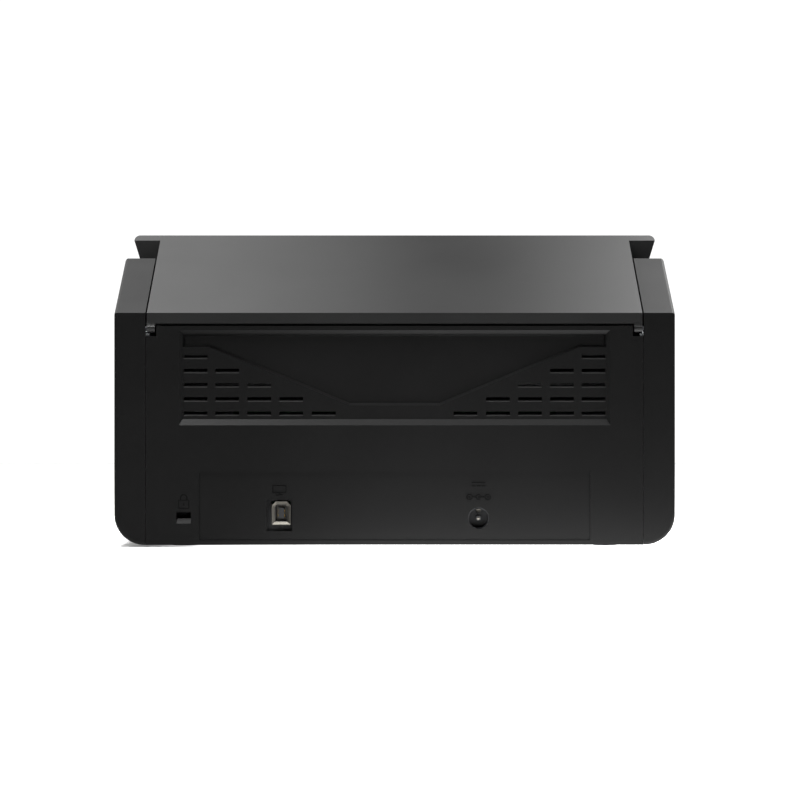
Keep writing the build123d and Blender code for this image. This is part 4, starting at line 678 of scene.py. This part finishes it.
def litBackdrop(values):
    material, tree = newMaterial("litBackdrop")
    finish(tree, addNode(tree, "ShaderNodeEmission", inputs={"Strength": values["strength"]}))
    return material


stagePlane("table", table["half"], (table["front"], table["height"]), (backdrop["depth"], table["height"]),
           glowPoolTable(table))
stagePlane("backdrop", backdrop["half"], (backdrop["depth"], backdrop["foot"]),
           (backdrop["depth"], backdrop["top"]), litBackdrop(backdrop))

panel = {"half": 3.0, "lower": (-2.2, 1.2), "upper": (-1.0, 4.2), "hex": "#fdfdfb", "middle": 0.80,
         "fade": 1.0, "left": 1.9, "right": 3.2}


def diffuserCloth(values):
    # panel lit from both ends, more from one, so its middle is dimmer
    material, tree = newMaterial("diffuserCloth")
    place = addNode(tree, "ShaderNodeTexCoord").outputs["Object"]
    across = addNode(tree, "ShaderNodeSeparateXYZ", links={"Vector": place})
    ends = [addNode(tree, "ShaderNodeMapRange", {"interpolation_type": "SMOOTHSTEP"},
                    {"From Min": 0.0, "From Max": reach, "To Min": values["middle"] / 2, "To Max": most},
                    {"Value": across.outputs["X"]})
            for reach, most in ((values["fade"], values["left"]), (-values["fade"], values["right"]))]
    glow = addNode(tree, "ShaderNodeMath", {"operation": "ADD"},
                   links={index: end.outputs["Result"] for index, end in enumerate(ends)})
    finish(tree, addNode(tree, "ShaderNodeEmission", inputs={"Color": hexColour(values["hex"])},
                         links={"Strength": glow.outputs["Value"]}))
    return material


stagePlane("widePanel", panel["half"], panel["lower"], panel["upper"], diffuserCloth(panel), seen=False)

cloth = {"half": 0.50, "reach": 0.22, "middle": (-0.45, 0.617), "tiltDeg": 45.5,
         "heights": (0.463, 0.771), "shade": (0.72, 1.40),  # the glow's factor at two heights
         "glow": ((-0.30, 6.0), (-0.18, 1.8), (-0.045, 0.10), (0.05, 1.3), (0.16, 2.0), (0.30, 2.4)),
         "scale": 4}  # the ramp holds the glow divided by this


def nearDiffuser(values):
    # cloth that mirrors in the lid, dimmest a little to one side of the middle
    material, tree = newMaterial("nearDiffuser")
    place = addNode(tree, "ShaderNodeTexCoord").outputs["Object"]
    parts = addNode(tree, "ShaderNodeSeparateXYZ", links={"Vector": place})
    half, scale = values["half"], values["scale"]
    along = addNode(tree, "ShaderNodeMapRange", inputs={"From Min": -half, "From Max": half},
                    links={"Value": parts.outputs["X"]})
    ramp = addNode(tree, "ShaderNodeValToRGB", links={"Fac": along.outputs["Result"]})
    ramp.color_ramp.interpolation = "EASE"
    setRamp(ramp, [((x + half) / 2 / half, (glow / scale, glow / scale, glow / scale, 1.0))
                   for x, glow in values["glow"]])
    (low, high), (lowShade, highShade) = values["heights"], values["shade"]
    shade = addNode(tree, "ShaderNodeMapRange",
                    inputs={"From Min": low, "From Max": high, "To Min": scale * lowShade,
                            "To Max": scale * highShade},
                    links={"Value": parts.outputs["Z"]})
    glow = addNode(tree, "ShaderNodeMath", {"operation": "MULTIPLY"},
                   links={0: ramp.outputs["Color"], 1: shade.outputs["Result"]})
    finish(tree, addNode(tree, "ShaderNodeEmission", links={"Strength": glow.outputs[0]}))
    return material


tilt = math.radians(cloth["tiltDeg"])
middle, halfRise = Vector(cloth["middle"]), Vector((math.cos(tilt), math.sin(tilt))) * cloth["reach"]
stagePlane("nearCloth", cloth["half"], middle - halfRise, middle + halfRise, nearDiffuser(cloth), seen=False)

softBoxes = {
    "stripLight": {"place": (-0.1, 0.40, 1.5), "size": (1.3, 0.4), "watts": 42.0, "hex": "#ffffff"},
    "keyLight": {"place": (0.22, 0.33, 0.50), "size": (0.14, 0.14), "watts": 2.2, "hex": "#ffffff"},
    "sideLight": {"place": (-1.3, 0.75, 0.35), "size": (0.5, 0.9), "watts": 0.8, "hex": "#e6efff"},
}
aimPoint = Vector((0, 0.05, 0.08))  # inside the machine
for name, values in softBoxes.items():
    lamp = bpy.data.lights.new(name, "AREA")
    lamp.shape = "RECTANGLE"
    lamp.size, lamp.size_y = values["size"]
    lamp.energy = values["watts"]
    lamp.color = hexColour(values["hex"])[:3]
    made = bpy.data.objects.new(name, lamp)
    made.location = values["place"]
    made.rotation_euler = (aimPoint - made.location).to_track_quat("-Z", "Y").to_euler()
    scene.collection.objects.link(made)

air = {"hex": "#8a8d92", "strength": 0.01}
world = bpy.data.worlds.new("studioAir")
world.use_nodes = True
sky = world.node_tree.nodes["Background"]
sky.inputs["Color"].default_value = hexColour(air["hex"])
sky.inputs["Strength"].default_value = air["strength"]
scene.world = world
scene.view_settings.view_transform = "Standard"

# camera behind the machine, square to its rear face and just below half its height
view = {"distance": 1.818, "height": 0.0767, "lensMm": 155.16, "sensorMm": 36.0, "shiftX": 0.00675,
        "shiftY": 0.0015}
camera = bpy.data.cameras.new("rearCamera")
camera.lens = view["lensMm"]
camera.sensor_width = view["sensorMm"]
camera.shift_x = view["shiftX"]
camera.shift_y = view["shiftY"]
viewer = bpy.data.objects.new("rearCamera", camera)
viewer.location = (0.0, cadBox[1][1] + view["distance"], view["height"])
viewer.rotation_euler = (math.radians(90), 0, math.radians(180))
scene.collection.objects.link(viewer)
scene.camera = viewer
print("studio and camera set")
